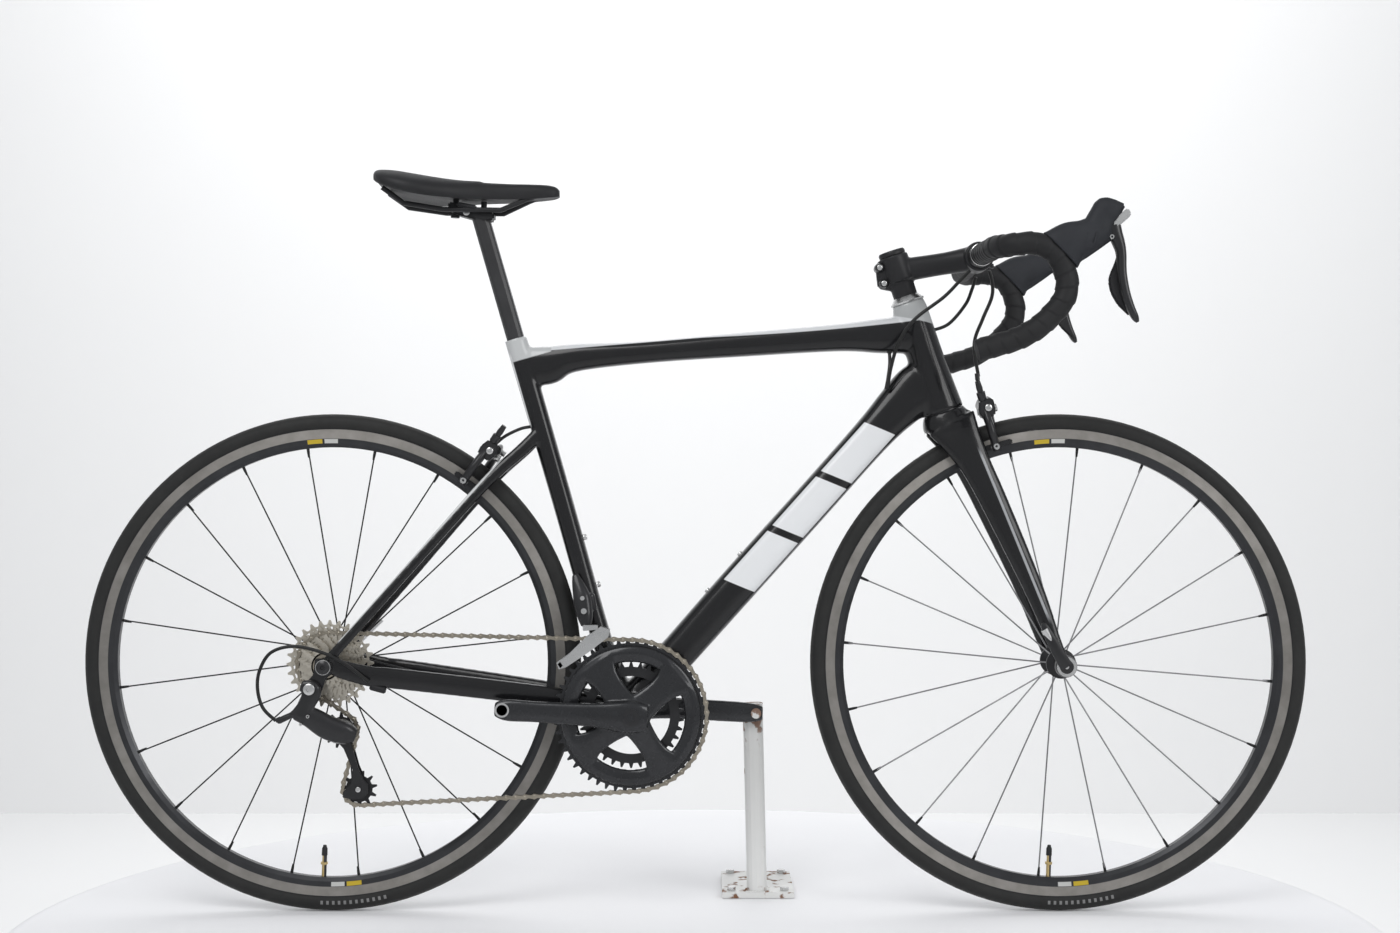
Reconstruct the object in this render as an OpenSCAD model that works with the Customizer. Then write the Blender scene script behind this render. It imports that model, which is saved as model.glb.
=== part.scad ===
// Road bicycle held upright by a post stand under its left crank arm. Millimetres.
// +X forward, +Y to the rider's left, +Z up, origin on the ground half way along the wheelbase.

/* [Wheels] */
// Distance between the wheel axles
wheelbase = 982; // [960:1:1010]
// Radius over the tyre tread
tyre_r = 336; // [330:0.5:342]
// Width of the tyre
tyre_w = 25; // [23:0.5:28]
// Spokes in each wheel
spokes = 20; // [16:4:32]

/* [Drivetrain] */
// Height of the bottom bracket centre
bb_z = 269; // [260:1:280]
// Crank length between centres
crank_l = 170; // [165:2.5:175]
// Slope of the crank arms from level
crank_tilt = 3.4; // [0:0.1:10]
// Large chainring teeth
ring_t = 50; // [48:2:52]
// Sprocket that the chain runs on
cog_t = 21; // [19:2:23]
// Chain links
links = 110; // [104:2:112]

/* [Cockpit] */
// Width of the handlebar between hood centres
bar_w = 420; // [400:10:440]
// Length of the stem
stem_l = 110; // [100:5:120]
// Head angle from level
head_angle = 72; // [70:0.5:74]

/* [Stand] */
// Width of the square post
post_w = 28; // [25:1:32]
// Depth of the base plate
plate_d = 150; // [100:5:180]

/* [Hidden] */
$fn = 48;
R = [-wheelbase/2, tyre_r]; F = [wheelbase/2, tyre_r]; B = [-86, bb_z];
G = [-474, 248]; T = [-450.4, 169.6];
pitch = 12.7;
sa = [-cos(head_angle), 0, sin(head_angle)];        // steering axis, upwards
s0 = [450.1, 0, 322.7];
seat0 = [-239, 0, 757];
fc = [390, 676]; rc = [-281, 622];                  // bolts of the brake calipers
shape = [for (i = [0:15]) let (a = i*22.5) [sign(cos(a))*pow(abs(cos(a)), 0.8),
    sign(sin(a))*pow(abs(sin(a)), 0.8)]];

function unit(v) = v/norm(v);
// stations [x, y, z, half width, half depth] swept into a tube; w is the wall, 0 for solid
function ring(S, i, w) = let (n = len(S) - 1, a = S[max(i - 1, 0)], b = S[min(i + 1, n)], c = S[i],
    t = unit([b[0]-a[0], b[1]-a[1], b[2]-a[2]]), u = unit([0, 1, 0] - t[1]*t), v = cross(t, u))
  [for (q = shape) [c[0], c[1], c[2]] + u*q[0]*(c[3] - w) + v*q[1]*(c[4] - w)];
function skin(n, o, m, f) = [for (i = [0:n-2], k = [0:m-1]) let (a = o+i*m+k, b = o+i*m+(k+1)%m) each
    (f ? [[a, b, b+m], [a, b+m, a+m]] : [[b, a, b+m], [b+m, a, a+m]])];
module tube(S, w = 0) {
  n = len(S);
  m = len(shape);
  e = n*m;
  P = [for (i = [0:n-1]) each ring(S, i, 0)];
  Q = [for (i = [0:n-1]) each ring(S, i, w)];
  polyhedron(w > 0 ? concat(P, Q) : P, w > 0 ? concat(skin(n, 0, m, false), skin(n, e, m, true),
      [for (k = [0:m-1]) let (j = (k+1)%m) each [[k, j, e+j], [k, e+j, e+k]]],
      [for (k = [0:m-1]) let (j = (k+1)%m, o = e-m) each [[o+j, o+k, e+o+k],
      [o+j, e+o+k, e+o+j]]]) : concat(skin(n, 0, m, false), [[for (k = [0:m-1]) k]],
      [[for (k = [m-1:-1:0]) e-m+k]]), convexity = 8);
}
module both() { children(); mirror([0, 1, 0]) children(); }
module at_y(p, y0, y1, r) {
  translate([p[0], y0, p[1]]) rotate([-90, 0, 0]) cylinder(h = y1 - y0, r = r);
}
// turns a profile of [radius, y] about the line through p that runs across the bicycle
module lathe(p, a = 0) {
  translate([p[0], 0, p[1]]) rotate([-90, 0, 0]) rotate([0, 0, a]) rotate_extrude($fn = 96) children();
}
// turns a profile of [radius, distance up] about the steering axis
module steer() { translate(s0) rotate([0, head_angle - 90, 0]) rotate_extrude() children(); }
module bar3(a, b, r) {
  d = b - a;
  L = norm(d);
  translate(a) rotate([0, acos(d[2]/L), atan2(d[1], d[0])]) cylinder(h = L, r = r);
}
module plate_y(pts, y0, y1) {
  translate([0, y1, 0]) rotate([90, 0, 0]) linear_extrude(y1 - y0) polygon(pts);
}

// chain path over the sprockets [x, z, pitch radius, turn, y], turn 1 is clockwise seen from the right
function pr(n) = n*pitch/(2*PI);
yc = -34.3; yr = -46.5;
K = [[B[0], B[1], pr(ring_t), 1, yr], [T[0], T[1], pr(11), 1, yc], [G[0], G[1], pr(11), -1, yc], [R[0],
    R[1], pr(cog_t), 1, yc]];
th = [for (i = [0:3]) let (a = K[i], b = K[(i+1)%4], dx = b[0]-a[0], dz = b[1]-a[1])
  atan2(dz, dx) - asin((a[3]*a[2] - b[3]*b[2])/norm([dx, dz]))];
function on(i, ang) = [K[i][0] + K[i][2]*cos(ang), K[i][1] + K[i][2]*sin(ang)];
cin = [for (i = [0:3]) th[(i+3)%4] + 90*K[i][3]];
turn = [for (i = [0:3]) let (d = (th[(i+3)%4] - th[i])*K[i][3]) d - 360*floor(d/360)];
run = [for (i = [0:3]) norm(on((i+1)%4, cin[(i+1)%4]) - on(i, th[i] + 90*K[i][3]))];
arc = [for (i = [0:3]) turn[i]*PI/180*K[i][2]];
s_in = [for (i = [0:3]) i == 0 ? 0 : i == 1 ? arc[0]+run[0] : i == 2 ? arc[0]+run[0]+arc[1]+run[1]
  : arc[0]+run[0]+arc[1]+run[1]+arc[2]+run[2]];
total = s_in[3] + arc[3] + run[3];
step = total/links;
function at(s) = let (i = s < s_in[1] ? 0 : s < s_in[2] ? 1 : s < s_in[3] ? 2 : 3, d = s - s_in[i],
    k = K[i], j = (i+1)%4)
  d < arc[i] ? let (g = cin[i] - k[3]*d/k[2]*180/PI) [on(i, g)[0], k[4], on(i, g)[1]]
  : let (q = (d - arc[i])/run[i], a = on(i, th[i] + 90*k[3]), b = on(j, cin[j]), p = a + (b - a)*q,
      w = min(max((q - 0.12)/0.76, 0), 1)) [p[0], k[4] + (K[j][4] - k[4])*w, p[1]];
// angle of a tooth gap that holds a roller on sprocket i
mid = [for (i = [0:3]) floor((s_in[i] + arc[i]/2)/step)*step];
gap = [for (i = [0:3]) cin[i] - K[i][3]*(mid[i] - s_in[i])/K[i][2]*180/PI];
module teeth(i_p, n, a0, y, t, hole) {
  r = pr(n);
  translate([i_p[0], y + t/2, i_p[1]]) rotate([90, 0, 0]) linear_extrude(t) difference() {
    polygon([for (k = [0:n-1]) let (a = a0 + (k + 0.5)*360/n) each [for (q = [[-3.3, -4.2], [-1.1, 2.2],
        [1.1, 2.2], [3.3, -4.2]]) let (b = a + q[0]/r*180/PI) [(r+q[1])*cos(b), (r+q[1])*sin(b)]]]);
    circle(r = hole);
  }
}
link6 = [for (q = [[-9.5, 1.6], [-7.8, 3.6], [7.8, 3.6], [9.5, 1.6], [9.5, -1.6], [7.8, -3.6],
    [-7.8, -3.6], [-9.5, -1.6]]) q];
function prism(c, t, pts, y0, y1) = [for (y = [y0, y1], q = pts) [c[0] + q[0]*t[0] - q[1]*t[2],
    c[1] + y + q[0]*t[1], c[2] + q[0]*t[2] + q[1]*t[0]]];
module chain() {
  color("tan") {
    L = [for (k = [0:links-1]) let (a = at(k*step), b = at(((k+1)%links)*step),
        c = (a+b)/2, t = unit(b-a), o = k%2 == 0 ? 2.1 : 1.3) each [prism(c, t, link6, o, o+0.6),
        prism(c, t, link6, -o-0.6, -o), prism(a, t, [for (w = [0:7]) 3.3*[cos(-w*45), sin(-w*45)]],
        -1.1, 1.1)]];
    m = 8;
    F = [for (i = [0:len(L)-1]) let (o = i*2*m) each concat([for (k = [0:m-1]) let (a = o+k,
        b = o+(k+1)%m) each [[a, b, b+m], [a, b+m, a+m]]], [[for (k = [m-1:-1:0]) o+k]],
        [[for (k = [0:m-1]) o+m+k]])];
    polyhedron([for (q = L) each q], F, convexity = 20);
  }
}

// Frame
module down_tube() {
  color("black") difference() {
    tube([[-66, 0, 302, 27, 24], [-27, 0, 345, 26, 25], [58, 0, 441, 25, 26], [147, 0, 540, 25, 26],
        [236, 0, 640, 24, 26], [275, 0, 682, 23, 30], [300, 0, 704, 22, 36], [318, 0, 712, 20, 36]], 1.6);
    translate(s0) rotate([0, head_angle - 90, 0]) translate([0, 0, 330]) cylinder(h = 200, r = 22);
  }
}
module top_tube() {
  color("black") difference() {
    tube([[-250, 0, 738, 14, 27], [-200, 0, 738, 15, 28], [-165, 0, 748, 16, 21], [-67, 0, 756, 17, 15],
        [67, 0, 766.5, 18, 16.5], [193, 0, 775.5, 20, 18.5], [250, 0, 777, 21, 24],
        [300, 0, 779, 20, 26]], 1.6);
    translate(s0) rotate([0, head_angle - 90, 0]) translate([0, 0, 330]) cylinder(h = 250, r = 20);
    post_frame() {
      translate([0, 0, -100]) linear_extrude(200) scale([13.2, 14.2]) polygon(shape);
      translate([-60, -50, -100]) cube([60, 100, 200]);
    }
  }
}
module seat_tube() {
  color("black") difference() {
    tube([[-94, 0, 296, 27, 14], [-120, 0, 344, 20, 14], [-180, 0, 553, 17, 14], [-239, 0, 757, 16, 15],
        [-241, 0, 764, 16, 15]], 2.6);
    post_frame() translate([0, 0, -190]) linear_extrude(220) scale([12.05, 13.05]) polygon(shape);
  }
}
module head_tube() {
  color("silver") steer() difference() {
    polygon([[14.35, 371], [28, 371], [27, 390], [24.5, 440], [23.5, 515], [22, 528], [14.35, 528]]);
    translate([0, 385]) square([21, 125]);
  }
}
module bottom_bracket_shell() { color("black") lathe(B) translate([12.05, -43]) square([14, 86]); }
module chainstays() {
  color("black") difference() {
    both() difference() {
      union() {
        tube([[-482, 68, 338, 3.5, 12], [-462, 68, 331, 4, 13], [-430, 65, 323, 5, 14],
            [-395, 58, 319, 7, 14], [-272, 40, 303, 8, 14], [-183, 28, 290, 8, 14],
            [-112, 26, 276, 9, 14]]);
        at_y(R, 65, 71, 15);
        plate_y([[-505, 345], [-478, 345], [-478, 320], [-497, 296], [-518, 298], [-518, 312]], 65, 71);
      }
      at_y(R, 60, 80, 5);
    }
    at_y([-508, 308], -80, -60, 4.8);
  }
}
module seatstays() {
  color("black") {
    difference() {
      both() tube([[-212, 10, 646, 5, 8], [-232, 18, 625, 6, 9], [-283, 29, 577, 6, 8],
          [-380, 50, 466, 5, 7], [-474, 68, 358, 3.5, 7]]);
      post_frame() translate([-13.6, -30, -190]) cube([28, 60, 220]);
    }
    translate([-268, -26, 596]) cube([14, 52, 14]);
    bar3([rc[0] - 14*0.807, 0, rc[1] + 14*0.59], [rc[0] + 26*0.807, 0, rc[1] - 26*0.59], 3);
  }
}
module front_derailleur() {
  color("silver") {
    translate([-158, -36, 375]) cube([16, 16, 78]);
    difference() {
      plate_y([[-184, 338], [-176, 331], [-118, 371], [-116, 380], [-150, 392]], -53, -39);
      plate_y([[-200, 300], [-100, 300], [-100, 400], [-200, 400]], -52, -41);
    }
    translate([-160, -53, 386]) cube([20, 25, 6]);
  }
}
module rear_housing() {
  color("black") pipe([for (q = [[-430, 317], [-492, 356], [-529, 364], [-559, 356], [-574, 331],
      [-577, 308], [-570, 283], [-553, 266]]) [q[0], -78, q[1]]]);
}
module rear_axle() {
  color("gray") {
    at_y(R, -79, 79, 4.9);
    at_y(R, -79, -71.1, 10);
    at_y(R, 71.1, 82, 10);
    bar3([R[0], 80, R[1]], [R[0]+52, 82, R[1]+52], 4.5);
  }
}

// Saddle and post
module seatpost() {
  color("dimgray") post_frame() translate([0, 0, -108]) linear_extrude(297) scale([11.99,
      12.99]) polygon(shape);
}
module saddle_clamp() {
  color("black") {
    plate_y([[-334, 948], [-286, 930], [-272, 934], [-272, 944], [-334, 960]], -14, 14);
    for (x = [-326, -288]) bar3([x, 0, 938], [x-1, 0, 966], 4);
  }
}
rail = [[-420, 34, 975], [-392, 26, 955], [-340, 22, 947], [-262, 21, 946], [-226, 14, 962],
    [-208, 8, 968]];
module saddle_rails() { color("gray") both() pipe(rail, 3.5); }
module saddle_shell() {
  color("black") tube([[-433, 0, 990, 34, 3], [-424, 0, 985, 56, 9], [-395, 0, 979, 68, 12],
      [-355, 0, 974, 60, 11], [-310, 0, 971, 36, 11], [-260, 0, 970, 23, 11], [-215, 0, 970, 19, 11],
      [-190, 0, 969, 15, 9], [-183, 0, 969, 7, 5]]);
}

// Fork and cockpit
module fork() {
  color("black") {
    difference() {
      union() {
        tube([[346, 0, 640, 22, 30], [346, 0, 652, 33, 35], [340, 0, 663, 31, 33],
            [336, 0, 674.6, 27, 27]]);
        both() tube([[344, 22, 658, 9, 34], [362, 29, 628, 9, 25], [377, 33, 600, 8, 20.5],
            [400, 38, 552, 8, 18], [450, 46, 440, 7, 13], [478, 54, 366, 5, 9], [489, 56, 340, 4, 9]]);
        both() at_y(F, 52, 59, 10);
      }
      at_y(F, -70, 70, 5);
      at_y(F, -18, 18, 342);
    }
    bar3([fc[0] + 18*0.958, 0, fc[1] + 18*0.286], [fc[0] - 40*0.958, 0, fc[1] - 40*0.286], 3);
    steer() translate([0, 366]) square([14.3, 226]);
  }
}
module stem() {
  color("black") difference() {
    union() {
      steer() {
        translate([14.32, 528.5]) square([2.2, 30]);
        translate([14.32, 554]) square([5.7, 38.5]);
      }
      bar3([276, 0, 866] + 19*[0.985, 0, 0.17], [382-14, 0, 882], 14);
      at_y([382, 884], -24, 24, 20);
      translate([246, -10, 849]) rotate([0, -17, 0]) cube([16, 20, 34]);
    }
    at_y([382, 884], -30, 30, 15.9);
    steer() square([14.31, 620]);
  }
}
module stem_cap() { color("black") steer() translate([0, 592.6]) square([17, 6]); }
hb = bar_w/2;
drop = [[429, 880], [452, 868], [465, 840], [464, 816], [453, 798], [433, 778], [414, 766], [398, 759],
    [374, 752], [353, 746]];
module bend(r, w) {
  both() tube(concat([for (i = [0:3]) [382, 30 + i*50, 884 - i*2, r, r]], [[392, hb-12, 879, r, r],
      [406, hb-2, 880, r, r]], [for (p = drop) [p[0], hb, p[1], r, r]]), w);
}
module handlebar() { color("gray") { at_y([382, 884], -40, 40, 15.8); bend(11.9, 1.6); } }
module bar_tape() { color("black") difference() { bend(15, 3.05); } }
horn = [[458, 896], [480, 900], [492, 908], [498, 920], [503, 931], [511, 936.5], [523, 936], [539, 928.5],
  [532, 918], [526, 909], [523, 898], [506, 874], [487, 861], [470, 862]];
module brake_hoods() {
  color("black") {
    both() difference() {
      union() {
        plate_y(horn, hb-8.5, hb+8.5);
        tube([[457, hb, 871, 16, 30], [470, hb, 882.5, 16.5, 25], [488, hb, 889, 15.5, 21],
            [502, hb, 897, 14.5, 20], [508.5, hb, 911, 14, 17], [515.5, hb, 925, 13, 17],
            [520, hb, 932, 11, 13], [521.5, hb, 936, 7, 7]]);
      }
      tube(concat([[392, hb-12, 879, 15.05, 15.05], [406, hb-2, 880, 15.05, 15.05]],
          [for (p = drop) [p[0], hb, p[1], 15.05, 15.05]]));
      translate([504, hb-6.6, 830]) cube([60, 13.2, 80]);
    }
    both() {
      at_y([520.5, 888], hb-9, hb+9, 2);
      for (y = [hb-9.5, hb+6.6]) plate_y([[496, 905], [512, 906], [525, 896], [527, 885], [516, 880],
          [496, 884]], y, y+2.9);
    }
  }
}
module lever() {
  difference() {
    plate_y([[516, 892], [526, 897], [535, 896], [539, 870], [539, 845], [546, 812], [558, 786],
        [551, 780], [535, 806], [529, 845], [526, 872], [514, 880]], hb-6, hb+6);
    at_y([520.5, 888], hb-9, hb+9, 2.06);
  }
}
module brake_lever_right() { color("black") mirror([0, 1, 0]) lever(); }
module brake_lever_left() { color("black") lever(); }
// turns pieces drawn upright into the line of the seat tube
module post_frame() {
  translate(seat0) multmatrix([[0.961, 0, -0.277, 0], [0, 1, 0, 0], [0.277, 0, 0.961, 0],
      [0, 0, 0, 1]]) children();
}
module pipe(p, r = 2.4) { tube([for (q = p) [q[0], q[1], q[2], r, r]]); }
module front_housings() {
  color("black") {
    pipe([[392, -44, 862], [395, -44, 826], [378, -42, 795], [368, -36, 760], [370, -30, 728]]);
    pipe([[386, 44, 862], [372, 50, 824], [348, 48, 797], [318, 38, 786], [296, 31, 776]]);
    pipe([[366, -44, 862], [330, -50, 826], [292, -48, 800], [274, -42, 770], [262, -34, 730],
        [258, -30, 706]]);
  }
}
module front_axle() {
  color("gray") {
    at_y(F, -66, 66, 4.9);
    at_y(F, -70, -59.1, 13);
    at_y(F, 59.1, 68, 10);
    bar3([F[0], -66, F[1]], [F[0]-30, -70, F[1]+50], 5);
  }
}

// Wheels
module tyre(p) {
  lathe(p) difference() {
    translate([tyre_r - tyre_w/2, 0]) circle(r = tyre_w/2);
    translate([tyre_r - tyre_w/2, 0]) circle(r = tyre_w/2 - 2.5);
    translate([280, -15]) square([36.05, 30]);
  }
}
module rim(p) {
  lathe(p) difference() {
    polygon([[291, -5], [296, -9], [302, -10.4], [316, -10.4], [316, -8.4], [305, -8.4], [305, 8.4],
        [316, 8.4], [316, 10.4], [302, 10.4], [296, 9], [291, 5]]);
    polygon([[293, -4], [297, -7.6], [303, -8.8], [303, 8.8], [297, 7.6], [293, 4]]);
  }
  bar3([p[0] - 13, 0, p[1] - 304], [p[0] - 11.2, 0, p[1] - 252], 3);
}
module spoke_set(p, a0, yn, yf, rn, x) {
  for (i = [0:spokes/2-1]) {
    a = a0 - 36*i;
    b = a - 18;
    c = a + (i%2 == 0 ? x : -x);
    bar3([p[0] + rn*cos(c), yn + (x == 0 ? 0 : i%2 == 0 ? 1.4 : -1.4), p[1] + rn*sin(c)],
        [p[0] + 295*cos(a), 0, p[1] + 295*sin(a)], 1);
    bar3([p[0] + 18*cos(b), yf, p[1] + 18*sin(b)], [p[0] + 295*cos(b), 0, p[1] + 295*sin(b)], 1);
  }
}
module front_tyre() { color("black") tyre(F); }
module rear_tyre() { color("black") tyre(R); }
module front_rim() { color("gray") rim(F); }
module rear_rim() { color("gray") rim(R); }
module front_spokes() { color("gray") spoke_set(F, 66.8, -25, 25, 18, 0); }
module rear_spokes() { color("gray") spoke_set(R, 60.8, -14.5, 36, 22, 45); }
module front_hub() {
  color("black") lathe(F) polygon([[5, -51], [9, -51], [9, -30], [20, -27], [20, -23], [11, -15],
      [11, 15], [20, 23], [20, 27], [9, 30], [9, 51], [5, 51]]);
}
module rear_hub() {
  color("black") lathe(R) polygon([[5, -18.5], [20, -18.5], [25, -16.5], [25, -12.5], [14, -6], [12, 20],
      [20, 34], [20, 38], [10, 42], [10, 64.5], [5, 64.5]]);
}

// Drivetrain
arm = crank_l*[-cos(crank_tilt), sin(crank_tilt)];
spider = [40, 125, 215, 303];                       // angles of the chainring arms
module chainring_outer() { color("dimgray") teeth(B, ring_t, gap[0], yr, 1.3, 78); }
module chainring_inner() { color("gray") teeth(B, 34, 0, -40, 1.8, 52); }
module crank_right() {
  color("dimgray") {
    difference() {
      union() {
        translate([B[0], 0, B[1]]) for (a = spider) rotate([0, -a, 0]) translate([0, -56, -11]) cube([80,
            8, 22]);
        lathe(B) translate([74, -56]) square([18, 8.5]);
        lathe(B) translate([0, -66]) square([22, 22]);
        tube([[B[0], -64, B[1], 8, 20], [B[0]+arm[0]*0.3, -65, B[1]+arm[1]*0.3, 7, 15],
            [B[0]+arm[0]*0.92, -66, B[1]+arm[1]*0.92, 7, 13.5],
            [B[0]+arm[0]*1.06, -66, B[1]+arm[1]*1.06, 6.5, 10]]);
      }
      at_y(B + arm, -90, -50, 7.14);
    }
    for (a = spider) at_y(B + 64*[cos(a), sin(a)], -55, -38, 5);
  }
}
module crank_spindle() { color("gray") at_y(B, -50, 70, 12); }
module crank_left() {
  color("dimgray") difference() {
    union() {
      at_y(B, 50, 72, 20);
      tube([[B[0], 65, B[1], 7, 18], [B[0]-arm[0]*0.3, 66, B[1]-arm[1]*0.3, 6.5, 15],
          [B[0]-arm[0]*0.92, 66.5, B[1]-arm[1]*0.92, 6.5, 13.5],
          [B[0]-arm[0]*1.06, 66.5, B[1]-arm[1]*1.06, 6, 10]]);
    }
    at_y(B - arm, 40, 90, 7.14);
  }
}
cogs = [11, 12, 13, 14, 15, 17, 19, 21, 23, 25, 28];
module cassette() {
  color("tan") {
    for (i = [0:10]) teeth(R, cogs[i], i == 7 ? gap[3] : i*7, -60.5 + 3.74*i, 1.3, 5 + min(i,
        8)*0.01 + 0.02);
    lathe(R) translate([5.02, -60]) square([11, 38.5]);
  }
}
module pulley(p, i) {
  teeth(p, 11, gap[i], yc, 2, 3.05);
  lathe(p) translate([3.05, yc-2.2]) square([8, 4.4]);
}
module guide_pulley() { color("black") pulley(G, 2); }
module tension_pulley() { color("black") pulley(T, 1); }
module derailleur_body() {
  color("black") {
    at_y([-508, 308], -84, -66, 4.7);
    at_y([-508, 308], -86, -71.2, 12);
    plate_y([[-520, 312], [-498, 308], [-505, 285], [-480, 276], [-462, 262], [-462, 240], [-482, 234],
        [-508, 250], [-530, 268], [-532, 285]], -82, -72);
    at_y([-474, 248], -80, -46, 11);
    bar3([-527, -77, 276], [-551, -78, 266], 4.5);
  }
}
module derailleur_cage() {
  color("black") {
    for (y = [[-42.5, -40.5], [-28, -26]]) plate_y([[-486, 262], [-462, 262], [-455, 235], [-436, 172],
        [-440, 156], [-458, 152], [-466, 168], [-486, 236]], y[0], y[1]);
    for (p = [G, T]) at_y(p, -42, -27, 3);
    at_y(G, -45.8, -42, 9);
  }
}
module stand_post() {
  color("white") {
    p = B - arm;
    at_y(p, 58, 80, 7.05);
    tube([[p[0]-4, 90, 270, 14, 14], [p[0]+2, 90, 8, 14, 14]]);
  }
}
module stand_base() { color("white") translate([37, 74, 0]) cube([100, plate_d, 8]); }
module stand_bolts() {
  color("gray") for (x = [50, 124], y = [88, 74 + plate_d - 14]) translate([x, y, 8]) cylinder(h = 5,
      r = 6, $fn = 6);
}

// One half of a dual pivot caliper: bolt point c, upward direction d, pad point side s
module half(c, ang, s, x) {
  translate([c[0], 0, c[1]]) rotate([0, ang, 0]) mirror([0, s < 0 ? 0 : 1, 0]) {
    translate([x, 0, 0]) rotate([90, 0, 90]) linear_extrude(7) difference() {
      polygon([[10, 10], [12, -8], [-16, -10], [-26, -22], [-24, -50], [-16, -52], [-30, -58],
          [-36, -24], [-26, 4], [-14, 14]]);
      circle(r = 3.05);
    }
    translate([x - 8, -24, -53]) cube([26, 12, 7]);
  }
}
module front_caliper_right() { color("black") half(fc, -16.6, -1, -4); }
module front_caliper_left() { color("black") half(fc, -16.6, 1, 5); }
module rear_caliper_right() { color("black") half(rc, 36.2, -1, -9); }
module rear_caliper_left() { color("black") half(rc, 36.2, 1, 0); }

down_tube();
top_tube();
seat_tube();
head_tube();
bottom_bracket_shell();
chainstays();
seatstays();
chain();
front_derailleur();
rear_housing();
rear_axle();
seatpost();
saddle_clamp();
saddle_rails();
saddle_shell();
fork();
stem();
stem_cap();
handlebar();
bar_tape();
brake_hoods();
front_housings();
front_axle();
front_tyre();
front_rim();
front_spokes();
front_hub();
rear_tyre();
rear_rim();
rear_spokes();
rear_hub();
crank_right();
crank_spindle();
crank_left();
chainring_outer();
chainring_inner();
cassette();
derailleur_body();
derailleur_cage();
guide_pulley();
tension_pulley();
front_caliper_right();
front_caliper_left();
rear_caliper_right();
rear_caliper_left();
brake_lever_right();
brake_lever_left();
stand_post();
stand_base();
stand_bolts();
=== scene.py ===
# %% [markdown]
# A road bicycle stands on a table, held up by a white steel post under its left crank arm.
# Every piece is made in metres in the same frame as the solid model, so nothing needs fitting later.
# +X is forward, +Y is the rider's left and +Z is up, with the origin on the ground at mid wheelbase.

# %% Load the solid model
import bpy, bmesh, math
from mathutils import Vector, Matrix


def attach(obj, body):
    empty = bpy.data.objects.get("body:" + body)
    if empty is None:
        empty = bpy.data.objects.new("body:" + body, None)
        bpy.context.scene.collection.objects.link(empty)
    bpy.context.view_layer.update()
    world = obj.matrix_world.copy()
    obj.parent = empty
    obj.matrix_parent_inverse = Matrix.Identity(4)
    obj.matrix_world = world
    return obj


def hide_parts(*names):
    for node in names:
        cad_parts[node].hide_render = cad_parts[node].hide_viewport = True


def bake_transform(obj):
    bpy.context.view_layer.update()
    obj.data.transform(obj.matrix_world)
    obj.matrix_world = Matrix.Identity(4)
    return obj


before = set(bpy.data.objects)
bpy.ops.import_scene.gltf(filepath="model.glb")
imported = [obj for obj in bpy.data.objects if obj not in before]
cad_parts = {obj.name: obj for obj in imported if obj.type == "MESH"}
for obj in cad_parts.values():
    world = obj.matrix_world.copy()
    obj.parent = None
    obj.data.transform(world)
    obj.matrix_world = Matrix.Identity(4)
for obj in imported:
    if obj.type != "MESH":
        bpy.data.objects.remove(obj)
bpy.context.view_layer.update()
MM = 0.001
HALF_BASE, AXLE_Z = 491, 336  # mm from mid wheelbase to either axle, and the height of both

# %% [markdown]
# The camera stands level, nearly three metres out on the drive side, far enough to see both wheels
# without bending the frame lines.

# %% Camera
cam = bpy.data.objects.new("camera", bpy.data.cameras.new("camera"))
bpy.context.scene.collection.objects.link(cam)
cam.location = (0.006, -2.763, 0.601)
cam.rotation_euler = (math.radians(90), 0, 0)
cam.data.lens = 52.4
cam.data.sensor_width = 36
bpy.context.scene.camera = cam
print("camera", tuple(cam.location))

# %% [markdown]
# Shader maths reads best as ordinary expressions. `Val` wraps one socket, and each operator adds the
# Math node that it stands for. `Finish` starts a material and makes every other node.

# %% Expressions for shaders
class Val:
    def __init__(self, finish, socket):
        self.f, self.s = finish, socket
    def op(self, kind, *others):
        return self.f.node("ShaderNodeMath", {"operation": kind}, dict(enumerate([self, *others])))
    def __add__(self, o): return self.op("ADD", o)
    def __sub__(self, o): return self.op("SUBTRACT", o)
    def __mul__(self, o): return self.op("MULTIPLY", o)
    def __truediv__(self, o): return self.op("DIVIDE", o)
    def __rsub__(self, o): return (self * -1) + o
    __radd__, __rmul__ = __add__, __mul__
    def above(self, edge, soft):
        return self.f.node("ShaderNodeMapRange", {"interpolation_type": "SMOOTHSTEP"},
                           {"Value": self, "From Min": edge - soft, "From Max": edge + soft})
    def below(self, edge, soft): return 1 - self.above(edge, soft)
    def inside(self, low, high, soft): return self.above(low, soft) * self.below(high, soft)


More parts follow.
